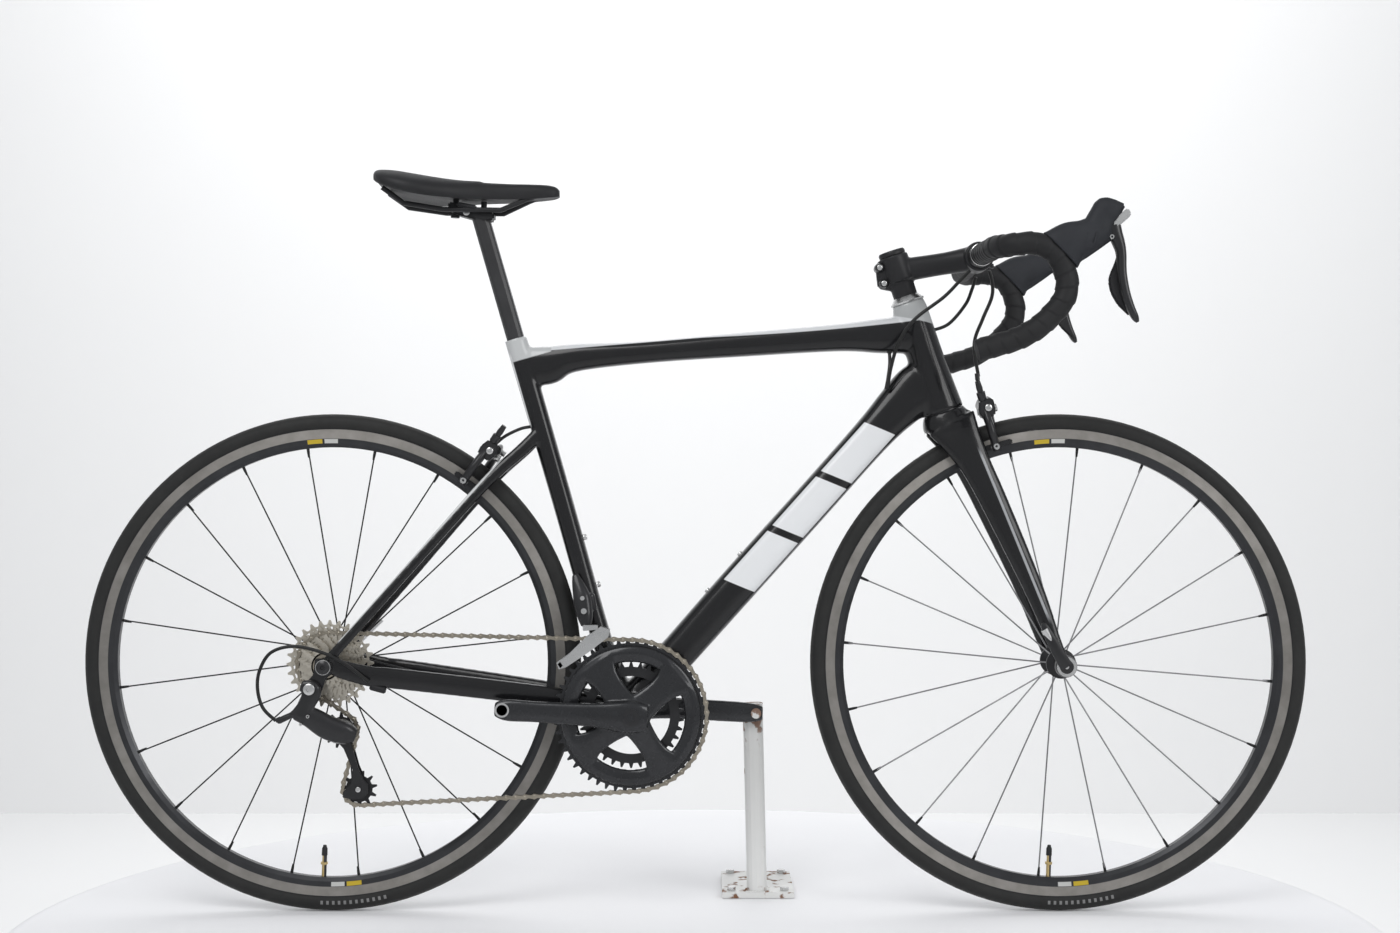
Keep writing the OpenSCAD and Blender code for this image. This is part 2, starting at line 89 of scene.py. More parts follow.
class Finish:
    def __init__(self, name, rough=0.5, metal=0.0, coat=0.0, color=(0.5, 0.5, 0.5), shine=0.3):
        self.mat = bpy.data.materials.new(name)
        self.mat.use_nodes = True
        self.tree = self.mat.node_tree
        self.bsdf = self.tree.nodes["Principled BSDF"]
        self.mat.diffuse_color = (*color, 1)
        for key, value in (("Roughness", rough), ("Metallic", metal), ("Coat Weight", coat),
                           ("Coat Roughness", 0.06), ("Specular IOR Level", shine),
                           ("Base Color", (*color, 1))):
            self.bsdf.inputs[key].default_value = value
    def node(self, kind, settings, inputs, out=0):
        n = self.tree.nodes.new(kind)
        for key, value in settings.items():
            setattr(n, key, value)
        for key, value in inputs.items():
            if isinstance(value, Val):
                self.tree.links.new(value.s, n.inputs[key])
            else:
                n.inputs[key].default_value = value
        return Val(self, n.outputs[out])
    def place(self):
        p = self.node("ShaderNodeTexCoord", {}, {}, "Object")
        self.p = p
        return [self.node("ShaderNodeSeparateXYZ", {}, {0: p}, i) for i in range(3)]
    def noise(self, scale, detail=3, stretch=(1, 1, 1)):
        if not hasattr(self, "p"):
            self.place()
        v = self.node("ShaderNodeVectorMath", {"operation": "MULTIPLY"}, {0: self.p, 1: stretch})
        return self.node("ShaderNodeTexNoise", {}, {"Vector": v, "Scale": scale, "Detail": detail}, 0)
    def mix(self, mask, a, b):
        full = lambda c: c if isinstance(c, Val) else (*c, 1)
        return self.node("ShaderNodeMix", {"data_type": "RGBA"}, {0: mask, 6: full(a), 7: full(b)}, 2)
    def set(self, **links):
        for key, value in links.items():
            self.tree.links.new(value.s, self.bsdf.inputs[key.replace("_", " ")])
        return self
    def bump(self, height, distance, strength=1.0):
        n = self.node("ShaderNodeBump", {}, {"Height": height, "Strength": strength, "Distance": distance})
        return self.set(Normal=n)
print("shader helpers ready")

# %% [markdown]
# The carbon frame has a black lacquer that is hard and glossy, with faint dust and fine swirls. White
# and silver paint sit on the upper edges, and a painted highlight runs along the rear of the seat stays.
# One material holds all of it, because on the real frame the colours are sprayed through masks on one
# surface; here the masks are ranges of position.

# %% Lacquer on the frame
def lacquer(name, decorate):
    f = Finish(name, rough=0.22, coat=0.25, color=(0.012, 0.012, 0.013))
    x, y, z = f.place()
    cloud = f.noise(9, 4)
    base = f.mix(cloud, (0.005, 0.005, 0.0055), (0.011, 0.011, 0.012))
    base = decorate(f, x, y, z, base)
    f.set(Base_Color=base, Roughness=f.noise(60, 5) * 0.14 + 0.16)
    return f.bump(f.noise(900, 2), 0.00003, 0.3).mat


def frame_paint(f, x, y, z, base):
    # white strip along the upper edge of the top tube: the height of the tube's top at each x
    edge = (x * 0.035 + x * x * 0.14 + 0.7748).op("MINIMUM", x * 0.085 + 0.7745)
    over_top = (z - edge).above(0, 0.0008) * x.inside(-0.20, 0.30, 0.003)
    base = f.mix(over_top, base, (0.66, 0.67, 0.68))
    silver = (z - x * -0.20 - 0.858).above(0, 0.0008) * x.above(0.2, 0.002)
    base = f.mix(silver, base, (0.43, 0.44, 0.44))
    collar = (z - x * 0.29 - 0.812).above(0.001, 0.001) * x.below(-0.195, 0.001)
    base = f.mix(collar, base, (0.5, 0.51, 0.51))
    # white paint edge behind the seat tube, and a painted highlight along the rear of the seat stays
    back = (x * 0.961 + z * 0.277).below(-0.0313, 0.0006) * z.inside(0.655, 0.752, 0.004)
    stay_highlight = (z * -0.659 + x * 0.752).below(-0.5975, 0.0008) * z.inside(0.36, 0.65, 0.003) * x.above(-0.472,
        0.002)
    base = f.mix(back, base, (0.68, 0.69, 0.69))
    base = f.mix(stay_highlight, base, (0.68, 0.69, 0.69))
    # plain slanted white blocks on both sides of the down tube
    along = (x - 0.0) * 0.667 + (z - 0.375) * 0.745
    across = (x - 0.0) * -0.745 + (z - 0.375) * 0.667
    band = across.inside(-0.021, 0.021, 0.0006)
    slant = along + across * 0.35
    for low, high in ((0.088, 0.176), (0.186, 0.274), (0.284, 0.372)):
        base = f.mix(slant.inside(low, high, 0.0006) * band, base, (0.78, 0.79, 0.80))
    return base


def fork_paint(f, x, y, z, base):
    edge = (x + z * 0.40 - 0.6255).inside(0.0015, 0.0052, 0.0006) * z.inside(0.40, 0.62, 0.01)
    return f.mix(edge, base, (0.35, 0.36, 0.37))


carbon = lacquer("frame_lacquer", frame_paint)
fork_black = lacquer("fork_lacquer", fork_paint)
print("lacquers made")

# %% [markdown]
# Metals, rubbers and plastics share one recipe: a colour that drifts a little, a roughness that drifts
# more, and a fine bump whose scale says what the surface is: casting, brushing, grain or tread dust.

# %% Everyday finishes
def plain(name, dark, light, rough, spread=0.15, metal=0.0, coat=0.0, grain=400, depth=0.00005,
          stretch=(1, 1, 1)):
    f = Finish(name, rough=rough, metal=metal, coat=coat, color=light)
    f.set(Base_Color=f.mix(f.noise(25, 5), dark, light),
          Roughness=f.noise(70, 4) * spread + (rough - spread / 2))
    return f.bump(f.noise(grain, 3, stretch), depth, 0.6).mat


black_metal = plain("anodised_black", (0.010, 0.010, 0.011), (0.028, 0.028, 0.030), 0.34, metal=0.2, coat=0.3)
satin_black = plain("satin_black_alloy", (0.014, 0.014, 0.015), (0.024, 0.024, 0.026), 0.42, metal=0.1)
crank_grey = plain("crank_grey", (0.014, 0.0145, 0.016), (0.030, 0.031, 0.034), 0.27, metal=0.35, coat=0.4,
                   grain=700)
champagne = plain("sprocket_nickel", (0.42, 0.385, 0.32), (0.72, 0.68, 0.60), 0.34, spread=0.25, metal=0.85,
                  grain=500)
silver_metal = plain("brushed_silver", (0.50, 0.50, 0.50), (0.72, 0.72, 0.71), 0.27, metal=1.0,
                     stretch=(1, 12, 1))
spoke_steel = plain("spoke_steel", (0.16, 0.16, 0.165), (0.34, 0.34, 0.345), 0.35, metal=0.9)
spoke_dark = plain("spoke_black", (0.012, 0.012, 0.013), (0.03, 0.03, 0.03), 0.35, metal=0.4)
nickel = plain("nickel_plate", (0.22, 0.195, 0.155), (0.46, 0.42, 0.35), 0.32, spread=0.25, metal=0.95,
               grain=300)
brass = plain("valve_brass", (0.45, 0.33, 0.14), (0.70, 0.55, 0.28), 0.3, metal=1.0)
plastic = plain("moulded_black", (0.010, 0.010, 0.011), (0.022, 0.022, 0.024), 0.48, grain=1200)
hood_rubber = plain("hood_rubber", (0.013, 0.014, 0.017), (0.030, 0.032, 0.038), 0.62, grain=1500,
                    depth=0.00012)
cable_skin = plain("cable_skin", (0.010, 0.010, 0.010), (0.02, 0.02, 0.02), 0.38)
leather = plain("saddle_skin", (0.010, 0.010, 0.011), (0.022, 0.022, 0.024), 0.5, grain=1100, depth=0.00025)
post_carbon = plain("seatpost_carbon", (0.020, 0.020, 0.021), (0.042, 0.042, 0.044), 0.36, coat=0.2,
                    grain=900,
                    stretch=(1, 1, 0.2))


def wheel_finish(name, center):
    """Radius and angle about an axle, for finishes that run round a wheel."""
    f = Finish(name)
    x, y, z = f.place()
    dx, dz = x - center[0], z - center[1]
    return f, (dx * dx + dz * dz).op("SQRT"), dz.op("ARCTAN2", dx), y


def tyre_finish(name, center):
    f, r, a, y = wheel_finish(name, center)
    base = f.mix(f.noise(30, 5), (0.011, 0.011, 0.011), (0.024, 0.024, 0.023))
    tread = r.above(0.3325, 0.0015)
    base = f.mix(tread * (f.noise(220, 4) * 0.6), base, (0.060, 0.058, 0.055))
    cords = (r * 5200).op("SINE") * r.below(0.329, 0.001)
    ring = r.inside(0.3165, 0.3175, 0.0003)
    mark = r.inside(0.3215, 0.3265, 0.0004) * a.inside(-1.62, -1.34, 0.002)
    dash = (a * 260).op("SINE").above(0.2, 0.1)
    base = f.mix(mark * dash * 0.55, base, (0.33, 0.33, 0.33))
    f.set(Base_Color=base, Roughness=f.noise(140, 4) * 0.2 + 0.5)
    return f.bump(cords * 0.3 + ring + f.noise(600, 3) * 0.5, 0.00015).mat


def rim_finish(name, center):
    f, r, a, y = wheel_finish(name, center)
    track = r.inside(0.3028, 0.3152, 0.0003)
    machined = f.mix(f.noise(50, 4), (0.17, 0.16, 0.145), (0.33, 0.315, 0.295))
    dark = f.mix(f.noise(30, 4), (0.030, 0.031, 0.033), (0.060, 0.061, 0.065))
    base = f.mix(track, dark, machined)
    for mid in (-1.50, 1.62):
        yellow = r.inside(0.2965, 0.3022, 0.0003) * a.inside(mid - 0.005, mid + 0.062, 0.0015)
        white = r.inside(0.2965, 0.3022, 0.0003) * a.inside(mid - 0.075, mid - 0.015, 0.0015)
        base = f.mix(yellow, base, (0.62, 0.45, 0.05))
        base = f.mix(white, base, (0.62, 0.62, 0.60))
    f.bsdf.inputs["Metallic"].default_value = 0.65
    f.set(Base_Color=base, Roughness=f.noise(80, 4) * 0.15 + (track * 0.08 + 0.24))
    return f.bump((r * 16000).op("SINE") * track + f.noise(500, 2) * 0.3, 0.00004).mat


def chipped_paint():
    f = Finish("chipped_white_paint", rough=0.4, color=(0.8, 0.8, 0.78))
    x, y, z = f.place()
    chips = f.noise(38, 8).above(0.655, 0.012)
    rub = z.above(0.222, 0.02) * f.noise(55, 6).above(0.52, 0.03) * 0.9
    foot = z.below(0.014, 0.004) * f.noise(60, 6).above(0.60, 0.04)
    worn = chips.op("MAXIMUM", rub).op("MAXIMUM", foot)
    rust = f.mix(f.noise(150, 5), (0.10, 0.035, 0.015), (0.30, 0.16, 0.09))
    paint = f.mix(f.noise(7, 5), (0.62, 0.62, 0.60), (0.83, 0.83, 0.82))
    f.set(Base_Color=f.mix(worn, paint, rust), Roughness=worn * 0.4 + 0.34)
    return f.bump((1 - worn) * 0.7 + f.noise(200, 4) * 0.3, 0.0003).mat


AXLE = {"rear": (-0.491, 0.336), "front": (0.491, 0.336)}
tyres = {k: tyre_finish(k + "_tyre_rubber", c) for k, c in AXLE.items()}
rims = {k: rim_finish(k + "_rim_alloy", c) for k, c in AXLE.items()}
post_paint = chipped_paint()
print("materials", len(bpy.data.materials))

# %% [markdown]
# Most pieces are one of four shapes: a loft of rounded sections along a path, a bevelled plate cut
# from an outline, a round turned part, or several of these fused by a voxel remesh.

# %% Shape makers
def keep(name, bm, mat, smooth=True):
    bmesh.ops.recalc_face_normals(bm, faces=bm.faces)
    mesh = bpy.data.meshes.new(name)
    bm.to_mesh(mesh)
    bm.free()
    obj = bpy.data.objects.new(name, mesh)
    bpy.context.scene.collection.objects.link(obj)
    if smooth:
        mesh.shade_smooth()
        mesh.set_sharp_from_angle(angle=math.radians(38))
    mesh.materials.append(mat)
    return obj


def curve_through(rows, steps):
    out = []
    n = len(rows)
    for i in range(n - 1):
        a, b, c, d = (rows[max(i - 1, 0)], rows[i], rows[i + 1], rows[min(i + 2, n - 1)])
        for k in range(steps):
            t = k / steps
            out.append([0.5 * (2 * q + (r - p) * t + (2 * p - 5 * q + 4 * r - s) * t * t
                        + (3 * q - p - 3 * r + s) * t ** 3) for p, q, r, s in zip(a, b, c, d)])
    return out + [list(rows[-1])]


def loft_into(bm, rows, steps=6, sides=28, power=0.8):
    """Sections [x, y, z, half width, half depth] in millimetres, joined by smooth skin."""
    rows = curve_through(rows, steps) if steps > 1 else rows
    rings = []
    for i, row in enumerate(rows):
        t = (Vector(rows[min(i + 1, len(rows) - 1)][:3]) - Vector(rows[max(i - 1, 0)][:3])).normalized()
        u = (Vector((0, 1, 0)) - t.y * t).normalized()
        v = t.cross(u)
        ring = []
        for k in range(sides):
            a = 2 * math.pi * k / sides
            c, s = math.cos(a), math.sin(a)
            q = Vector(row[:3]) + u * math.copysign(abs(c) ** power, c) * row[3]
            q += v * math.copysign(abs(s) ** power, s) * row[4]
            ring.append(bm.verts.new(q * MM))
        rings.append(ring)
    for a, b in zip(rings, rings[1:]):
        for k in range(sides):
            bm.faces.new((a[k], a[(k + 1) % sides], b[(k + 1) % sides], b[k]))
    bm.faces.new(rings[0])
    bm.faces.new(rings[-1][::-1])


def section(middle, y, *half):
    """One row for `loft_into`, moved `y` across the bicycle from a point in its middle plane."""
    return [*(middle + Vector((0, y, 0))), *half]


def loft(name, mat, rows, mirror=False, **how):
    bm = bmesh.new()
    loft_into(bm, rows, **how)
    if mirror:
        loft_into(bm, [[r[0], -r[1], *r[2:]] for r in rows], **how)
    return keep(name, bm, mat)


def plate_into(bm, pts, y0, y1, bevel=0.8):
    low = [bm.verts.new((x * MM, y0 * MM, z * MM)) for x, z in pts]
    face = bm.faces.new(low)
    made = bmesh.ops.extrude_face_region(bm, geom=[face])["geom"]
    new = [g for g in made if isinstance(g, bmesh.types.BMVert)]
    bmesh.ops.translate(bm, verts=new, vec=(0, (y1 - y0) * MM, 0))
    if bevel:
        mine = set(low) | set(new)
        edges = [e for e in bm.edges if e.verts[0] in mine and e.verts[1] in mine]
        bmesh.ops.bevel(bm, geom=edges, offset=bevel * MM, segments=2, affect="EDGES", clamp_overlap=True)


def turned_into(bm, base, axis, profile, sides=32):
    """A turned part: profile rows are [distance along axis, radius]."""
    w = Vector(axis).normalized()
    u = w.orthogonal().normalized()
    v = w.cross(u)
    rings = [[bm.verts.new((Vector(base) + w * d + (u * math.cos(2 * math.pi * k / sides)
              + v * math.sin(2 * math.pi * k / sides)) * r) * MM) for k in range(sides)] for d, r in profile]
    for a, b in zip(rings, rings[1:]):
        for k in range(sides):
            bm.faces.new((a[k], a[(k + 1) % sides], b[(k + 1) % sides], b[k]))
    bm.faces.new(rings[0])
    bm.faces.new(rings[-1][::-1])


def bolt_into(bm, at, axis, r, h, key=0.45):
    """A round head with a hexagon socket sunk into it."""
    turned_into(bm, at, axis, [[0, r], [h * 0.8, r], [h, r * 0.85], [h, r * key], [h * 0.45, r * key]], 24)


def group(name, mat, *makers):
    bm = bmesh.new()
    for make in makers:
        make(bm)
    return keep(name, bm, mat)


def fuse(obj, voxel, rounds=2):
    """Melt overlapping shells into one skin, then relax the steps out of it."""
    size = voxel * 1.0
    for kind, settings in (("REMESH", {"mode": "VOXEL", "voxel_size": size * MM, "use_smooth_shade": True}),
                           ("SMOOTH", {"factor": 0.5, "iterations": rounds * 3})):
        mod = obj.modifiers.new(kind, kind)
        for key, value in settings.items():
            setattr(mod, key, value)
    made = bpy.data.meshes.new_from_object(obj.evaluated_get(bpy.context.evaluated_depsgraph_get()))
    obj.modifiers.clear()
    obj.data = made
    made.shade_smooth()
    return obj


def drill(obj, base, axis, radius, depth, sides=48):
    """Cut a round hole, or the arch over a wheel, out of a fused piece."""
    tool = group("cutter", carbon, lambda b: turned_into(b, base, axis, [[0, radius], [depth, radius]],
                                                         sides))
    cut = obj.modifiers.new("cut", "BOOLEAN")
    cut.operation, cut.object, cut.solver = "DIFFERENCE", tool, "EXACT"
    made = bpy.data.meshes.new_from_object(obj.evaluated_get(bpy.context.evaluated_depsgraph_get()))
    obj.modifiers.clear()
    obj.data = made
    made.shade_smooth()
    made.set_sharp_from_angle(angle=math.radians(50))
    bpy.data.objects.remove(tool)


def ride(obj, body, *nodes):
    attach(obj, body)
    if nodes:
        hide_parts(*nodes)
    return obj


def both(rows):
    return [rows, [[r[0], -r[1], *r[2:]] for r in rows]]
print("shape makers ready")

# %% [markdown]
# The frame is one moulded carbon piece. Separate tubes would show hard joints where they meet, so the
# tubes are lofted solid, melted together with a fine voxel remesh and smoothed. That gives the soft
# webs at the bottom bracket, seat cluster and head tube.

# %% Frame
S72 = Vector((-math.cos(math.radians(72)), 0, math.sin(math.radians(72))))
P0 = Vector((450.1, 0, 322.7))
def steer(s): return P0 + S72 * s
bm = bmesh.new()
loft_into(bm, [[-84, 0, 282, 31, 25], [-58, 0, 311, 28, 24.5], [-27, 0, 345, 26, 25], [58, 0, 441, 25, 26],
               [147, 0, 540, 25, 26],
               [236, 0, 640, 24, 26.5], [275, 0, 682, 23, 31], [300, 0, 704, 22, 36], [318, 0, 712, 20, 36]],
               power=0.72)
loft_into(bm, [[-236, 0, 737, 14, 25], [-200, 0, 738, 15, 26], [-165, 0, 748, 16, 19], [-67, 0, 756, 17, 15],
               [67, 0, 766.5, 18, 16.5],
               [193, 0, 775.5, 20, 18.5], [250, 0, 778, 21, 23.5], [300, 0, 780, 20, 26]], power=0.72)
loft_into(bm, [[-90, 0, 280, 30, 16], [-120, 0, 344, 20, 14], [-180, 0, 553, 17, 14], [-239, 0, 757, 16, 15],
               [-241, 0, 764, 16, 15]], power=0.78)
turned_into(bm, steer(370.8), S72, [[0, 28.6], [19, 27.5], [69, 24.8], [144, 23.6], [156.5, 21.5]], 48)
turned_into(bm, (-86, -42.8, 269), (0, 1, 0), [[0, 24], [3, 26], [82.6, 26], [85.6, 24]], 48)
for side in both([[-482, 68, 338, 3.5, 12], [-462, 68, 331, 4, 13], [-430, 65, 323, 5, 14],
                  [-395, 58, 319, 7, 14], [-272, 40, 303, 8, 14],
                  [-183, 28, 290, 8, 14], [-112, 26, 276, 9, 14]]):
    loft_into(bm, side, power=0.7)
for side in both([[-212, 10, 646, 6, 9], [-232, 17, 625, 6, 9], [-283, 29, 577, 6, 8], [-380, 50, 466, 5, 7],
                  [-474, 68, 358, 3.7, 7], [-484, 68, 344, 3.7, 8]]):
    loft_into(bm, side, power=0.75)
plate_into(bm, [(-268, 596), (-254, 596), (-254, 610), (-268, 610)], -26, 26, 3)
shell = fuse(keep("frame_shell", bm, carbon), 2.2, 3)
ride(shell, "frame", "down_tube", "top_tube", "seat_tube", "head_tube", "bottom_bracket_shell", "chainstays",
     "seatstays")
print("frame faces", len(shell.data.polygons))

ride(group("lower_headset_ring", black_metal,
           lambda b: turned_into(b, steer(370.2), S72, [[0, 26.5], [1.6, 26.5]], 48)), "frame")
drop = group("dropout_plates", black_metal,
    *[lambda b, s=s: plate_into(b, [(-503, 347), (-480, 347), (-476, 330), (-488, 321), (-497, 296),
                                    (-512, 296), (-520, 306), (-514, 316), (-505, 326)],
      *sorted((s * 64.9, s * 71.1)), 1.2) for s in (-1, 1)])
ride(drop, "frame")
bolts = []
def seat_front(z): return (-100 + (z - 275) * -0.2884 + 14.5, 0, z)
def down_top(x): return (x, 0, 462 + (x - 45) * 1.128)
for p, ax in ((seat_front(505), (0.961, 0, 0.277)), (seat_front(441), (0.961, 0, 0.277)),
              (down_top(62), (-0.745, 0, 0.667)), (down_top(18), (-0.745, 0, 0.667))):
    bolts.append(lambda b, p=p, ax=ax: bolt_into(b, p, ax, 4.2, 4.5))
ride(group("bottle_bolts", silver_metal, *bolts), "frame")

# %% [markdown]
# The fork is moulded like the frame: a wide crown that narrows into two blades, which sweep forward
# and thin out towards the wheel. It turns with the handlebar, so it is a piece of its own.

# %% Fork
bm = bmesh.new()
loft_into(bm, [[346, 0, 642, 22, 30], [346, 0, 652, 33, 36], [340, 0, 663, 31, 34],
               [335.6, 0, 675.4, 27.5, 28]], power=0.85)
for side in both([[344, 22, 660, 9, 35], [353, 26, 644, 9, 30], [362, 29, 628, 9, 26], [377, 33, 600, 8, 21],
                  [400, 38, 552, 8, 18.5], [450, 46, 440, 7, 13.5], [478, 54, 366, 5, 9.5],
                  [487, 56, 345, 4, 9]]):
    loft_into(bm, side, power=0.85)
for s in (-1, 1):
    turned_into(bm, (HALF_BASE, s * 52.5, AXLE_Z), (0, s, 0), [[0, 11], [6.4, 11]], 40)
fork = fuse(keep("fork_shell", bm, fork_black), 2.0, 3)
drill(fork, (HALF_BASE, -18, AXLE_Z), (0, 1, 0), 343, 36, 256)
ride(fork, "fork_and_bar", "fork")
print("fork faces", len(fork.data.polygons))

# %% [markdown]
# The seat mast holds a saddle with a stretched cover over a shaped shell, on two bent rails. The cover
# is a loft with a hollow along its middle and a stitched panel line, which gives it its long waist.

# %% Saddle and post
rows = [(-433.6, 990.5, 20, 4), (-430, 990, 40, 8), (-420, 987.5, 58, 12), (-400, 983.5, 68.5, 15),
        (-375, 978.5, 69, 16), (-345, 973.5, 58, 16), (-315, 970.5, 42, 15.5),
        (-285, 969.5, 30, 15.5), (-255, 969, 24, 15), (-225, 969.5, 20.5, 14), (-203, 970, 18, 12),
        (-190, 970, 14, 9.5), (-184.5, 969.5, 7, 5.5)]
bm = bmesh.new()
dense = curve_through([list(r) for r in rows], 5)
sides = 40
rings = []
for x, z, w, h in dense:
    ring = []
    for k in range(sides):
        a = 2 * math.pi * k / sides
        c, s = math.cos(a), math.sin(a)
        y = math.copysign(abs(c) ** 0.62, c) * w
        up = math.copysign(abs(s) ** 0.75, s) * h
        if s > 0:
            up -= 4.2 * math.exp(-(y / 9.5) ** 2) * min(1, max(0, (x + 425) / 60)) * min(1,
                max(0, (-200 - x) / 40))
            up += 1.6 * math.exp(-((abs(y) - w * 0.6) / 10) ** 2) * (w > 30)
            up -= 7.5 * max(0, (abs(y) / 69)) ** 2.2
        else:
            up = max(up, -h * 0.55) - 7.5 * max(0, (abs(y) / 69)) ** 2.2
        ring.append(bm.verts.new((x * MM, y * MM, (z + up) * MM)))
    rings.append(ring)
for a, b in zip(rings, rings[1:]):
    for k in range(sides):
        bm.faces.new((a[k], a[(k + 1) % sides], b[(k + 1) % sides], b[k]))
bm.faces.new(rings[0]); bm.faces.new(rings[-1])
cover = keep("saddle_cover", bm, leather)
ride(cover, "saddle", "saddle_shell")
clamp = group("saddle_clamp_head", satin_black,
    lambda b: plate_into(b, [(-334, 948), (-322, 941), (-286, 931), (-272, 934), (-272, 944), (-300, 951),
                             (-334, 959)], -14, 14, 2.5),
    lambda b: plate_into(b, [(-322, 951), (-296, 946), (-294, 952), (-320, 957)], -27, 27, 2),
    lambda b: turned_into(b, (-326, 0, 938), (0.05, 0, 1), [[0, 6], [4, 6], [4, 4], [26, 4]], 20),
    lambda b: turned_into(b, (-288, 0, 932), (0.05, 0, 1), [[0, 6], [4, 6], [4, 4], [28, 4]], 20))
ride(clamp, "saddle", "saddle_clamp")
ride(group("clamp_barrels", silver_metal, lambda b: bolt_into(b, (-309, -14, 944), (0, -1, 0), 4.5, 3)),
     "saddle")
print("saddle made")

# %% [markdown]
# The stem is a forged alloy tube between two clamps. Its face plate is held by four small bolts and the
# rear clamp by two, and a round cap sits on the steerer.

# %% Stem and handlebar
stem = group("stem_body", satin_black,
    lambda b: turned_into(b, steer(529), S72,
                          [[5, 16.5], [26.5, 16.5], [27.5, 20.2], [62.5, 20.3], [63, 19.5]], 48),
    lambda b: plate_into(b, [(247, 842), (268, 838), (266, 880), (243, 877)], -9, 9, 3),
    lambda b: loft_into(b, [[268, 0, 864.5, 15, 17], [300, 0, 870, 14.5, 15.5], [340, 0, 876.5, 15, 15],
                            [372, 0, 882, 20, 17]], power=0.8),
    lambda b: turned_into(b, (382, -23, 884), (0, 1, 0), [[0, 18.8], [2, 20], [44, 20], [46, 18.8]], 48))
ride(fuse(stem, 1.3, 2), "fork_and_bar", "stem")
fit = [lambda b, q=q, z=z: bolt_into(b, (398, q, z), (1, 0, 0.1), 3.4, 4) for q in (-15, 15)
       for z in (871, 896)]
fit += [lambda b, x=x, z=z: turned_into(b, (x, -13, z), (0, 1, 0), [[0, 5], [3, 6.5], [23, 6.5], [26, 5]],
                                        24) for x, z in ((254.5, 848), (248.5, 869.5))]
shiny = [lambda b, x=x, z=z: bolt_into(b, (x, -13, z), (0, -1, 0), 3.6, 1.2) for x,
         z in ((254.5, 848), (248.5, 869.5))]
ride(group("stem_bolt_heads", silver_metal, *shiny), "fork_and_bar")
ride(group("stem_bolts", black_metal, *fit), "fork_and_bar")
cap = group("stem_top_cap", satin_black,
            lambda b: turned_into(b, steer(592.6), S72, [[0, 18], [4, 18.4], [6.5, 17], [7, 6], [5, 5.5]],
                                  40))
ride(cap, "fork_and_bar", "stem_cap")
cone = group("headset_cover", silver_metal,
             lambda b: turned_into(b, steer(526), S72, [[0, 22.8], [2, 23.3], [9, 16.8]], 48))
ride(cone, "fork_and_bar")

# %% [markdown]
# Handlebar tape is a long soft strip wound in a spiral. Each turn overlaps the last, so the tube is a
# loft whose radius steps up once per turn, at a slant. That real relief catches light as the tape does.

# %% Bar tape
HB = 210
DROP = [[392, 198, 879], [406, 208, 880], [429, 210, 880], [452, 210, 868], [465, 210, 840], [464, 210, 816],
        [453, 210, 798], [433, 210, 778], [414, 210, 766], [398, 210, 759], [374, 210, 752], [353, 210, 746]]
path = curve_through([[382, 44, 884], [382, 80, 883], [382, 130, 881], [382, 170, 880], *DROP], 28)


def tape_into(bm, side):
    run, last, rings, sides = 0.0, None, [], 28
    for i, p in enumerate(path):
        c = Vector((p[0], p[1] * side, p[2]))
        a = path[max(i - 1, 0)]; b = path[min(i + 1, len(path) - 1)]
        t = (Vector((b[0], b[1] * side, b[2])) - Vector((a[0], a[1] * side, a[2]))).normalized()
        run += (c - last).length if last is not None else 0
        last = c
        ref = Vector((0, 0, 1)) if not rings else old
        u = (ref - ref.dot(t) * t).normalized(); old = u
        v = t.cross(u)
        ring = []
        for k in range(sides):
            g = 2 * math.pi * k / sides
            f = (run / 19.0 + k / sides * side) % 1.0
            r = 13.9 + 1.1 * min(1, f / 0.86) - (0.5 if f > 0.93 else 0)
            ring.append(bm.verts.new((c + (u * math.cos(g) + v * math.sin(g)) * r) * MM))
        rings.append(ring)
    for a, b in zip(rings, rings[1:]):
        for k in range(sides):
            bm.faces.new((a[k], a[(k + 1) % sides], b[(k + 1) % sides], b[k]))
    bm.faces.new(rings[0]); bm.faces.new(rings[-1])


tape_mat = plain("bar_tape_foam", (0.008, 0.008, 0.009), (0.019, 0.019, 0.020), 0.60, grain=1600,
                 depth=0.0002)
tape = group("wound_bar_tape", tape_mat, lambda b: tape_into(b, 1), lambda b: tape_into(b, -1))
ride(tape, "fork_and_bar", "bar_tape")
ends = group("tape_end_rings", silver_metal,
             *[lambda b, s=s: turned_into(b, (382.4, s * 43, 884), (0, s, 0),
                                          [[0, 15], [0.4, 15.6], [2.2, 15.6], [2.6, 15]], 36)
                                          for s in (-1, 1)])
ride(ends, "fork_and_bar")
plugs = group("bar_end_plugs", plastic, *[lambda b,
                                          s=s: turned_into(b, (353.8, s * 210, 746.2), (-1, 0, -0.28),
                                                           [[0, 13.8], [1, 13.8], [1.9, 11], [1.9, 3]], 32)
                                                           for s in (-1, 1)])
ride(plugs, "fork_and_bar")
print("tape faces", len(tape.data.polygons))

# %% [markdown]
# The brake hoods are rubber boots over a bracket, rising to a horn at the front. The boot is a fused
# loft, then the lever blade, the shift paddle behind it and a bare metal name plate are added.

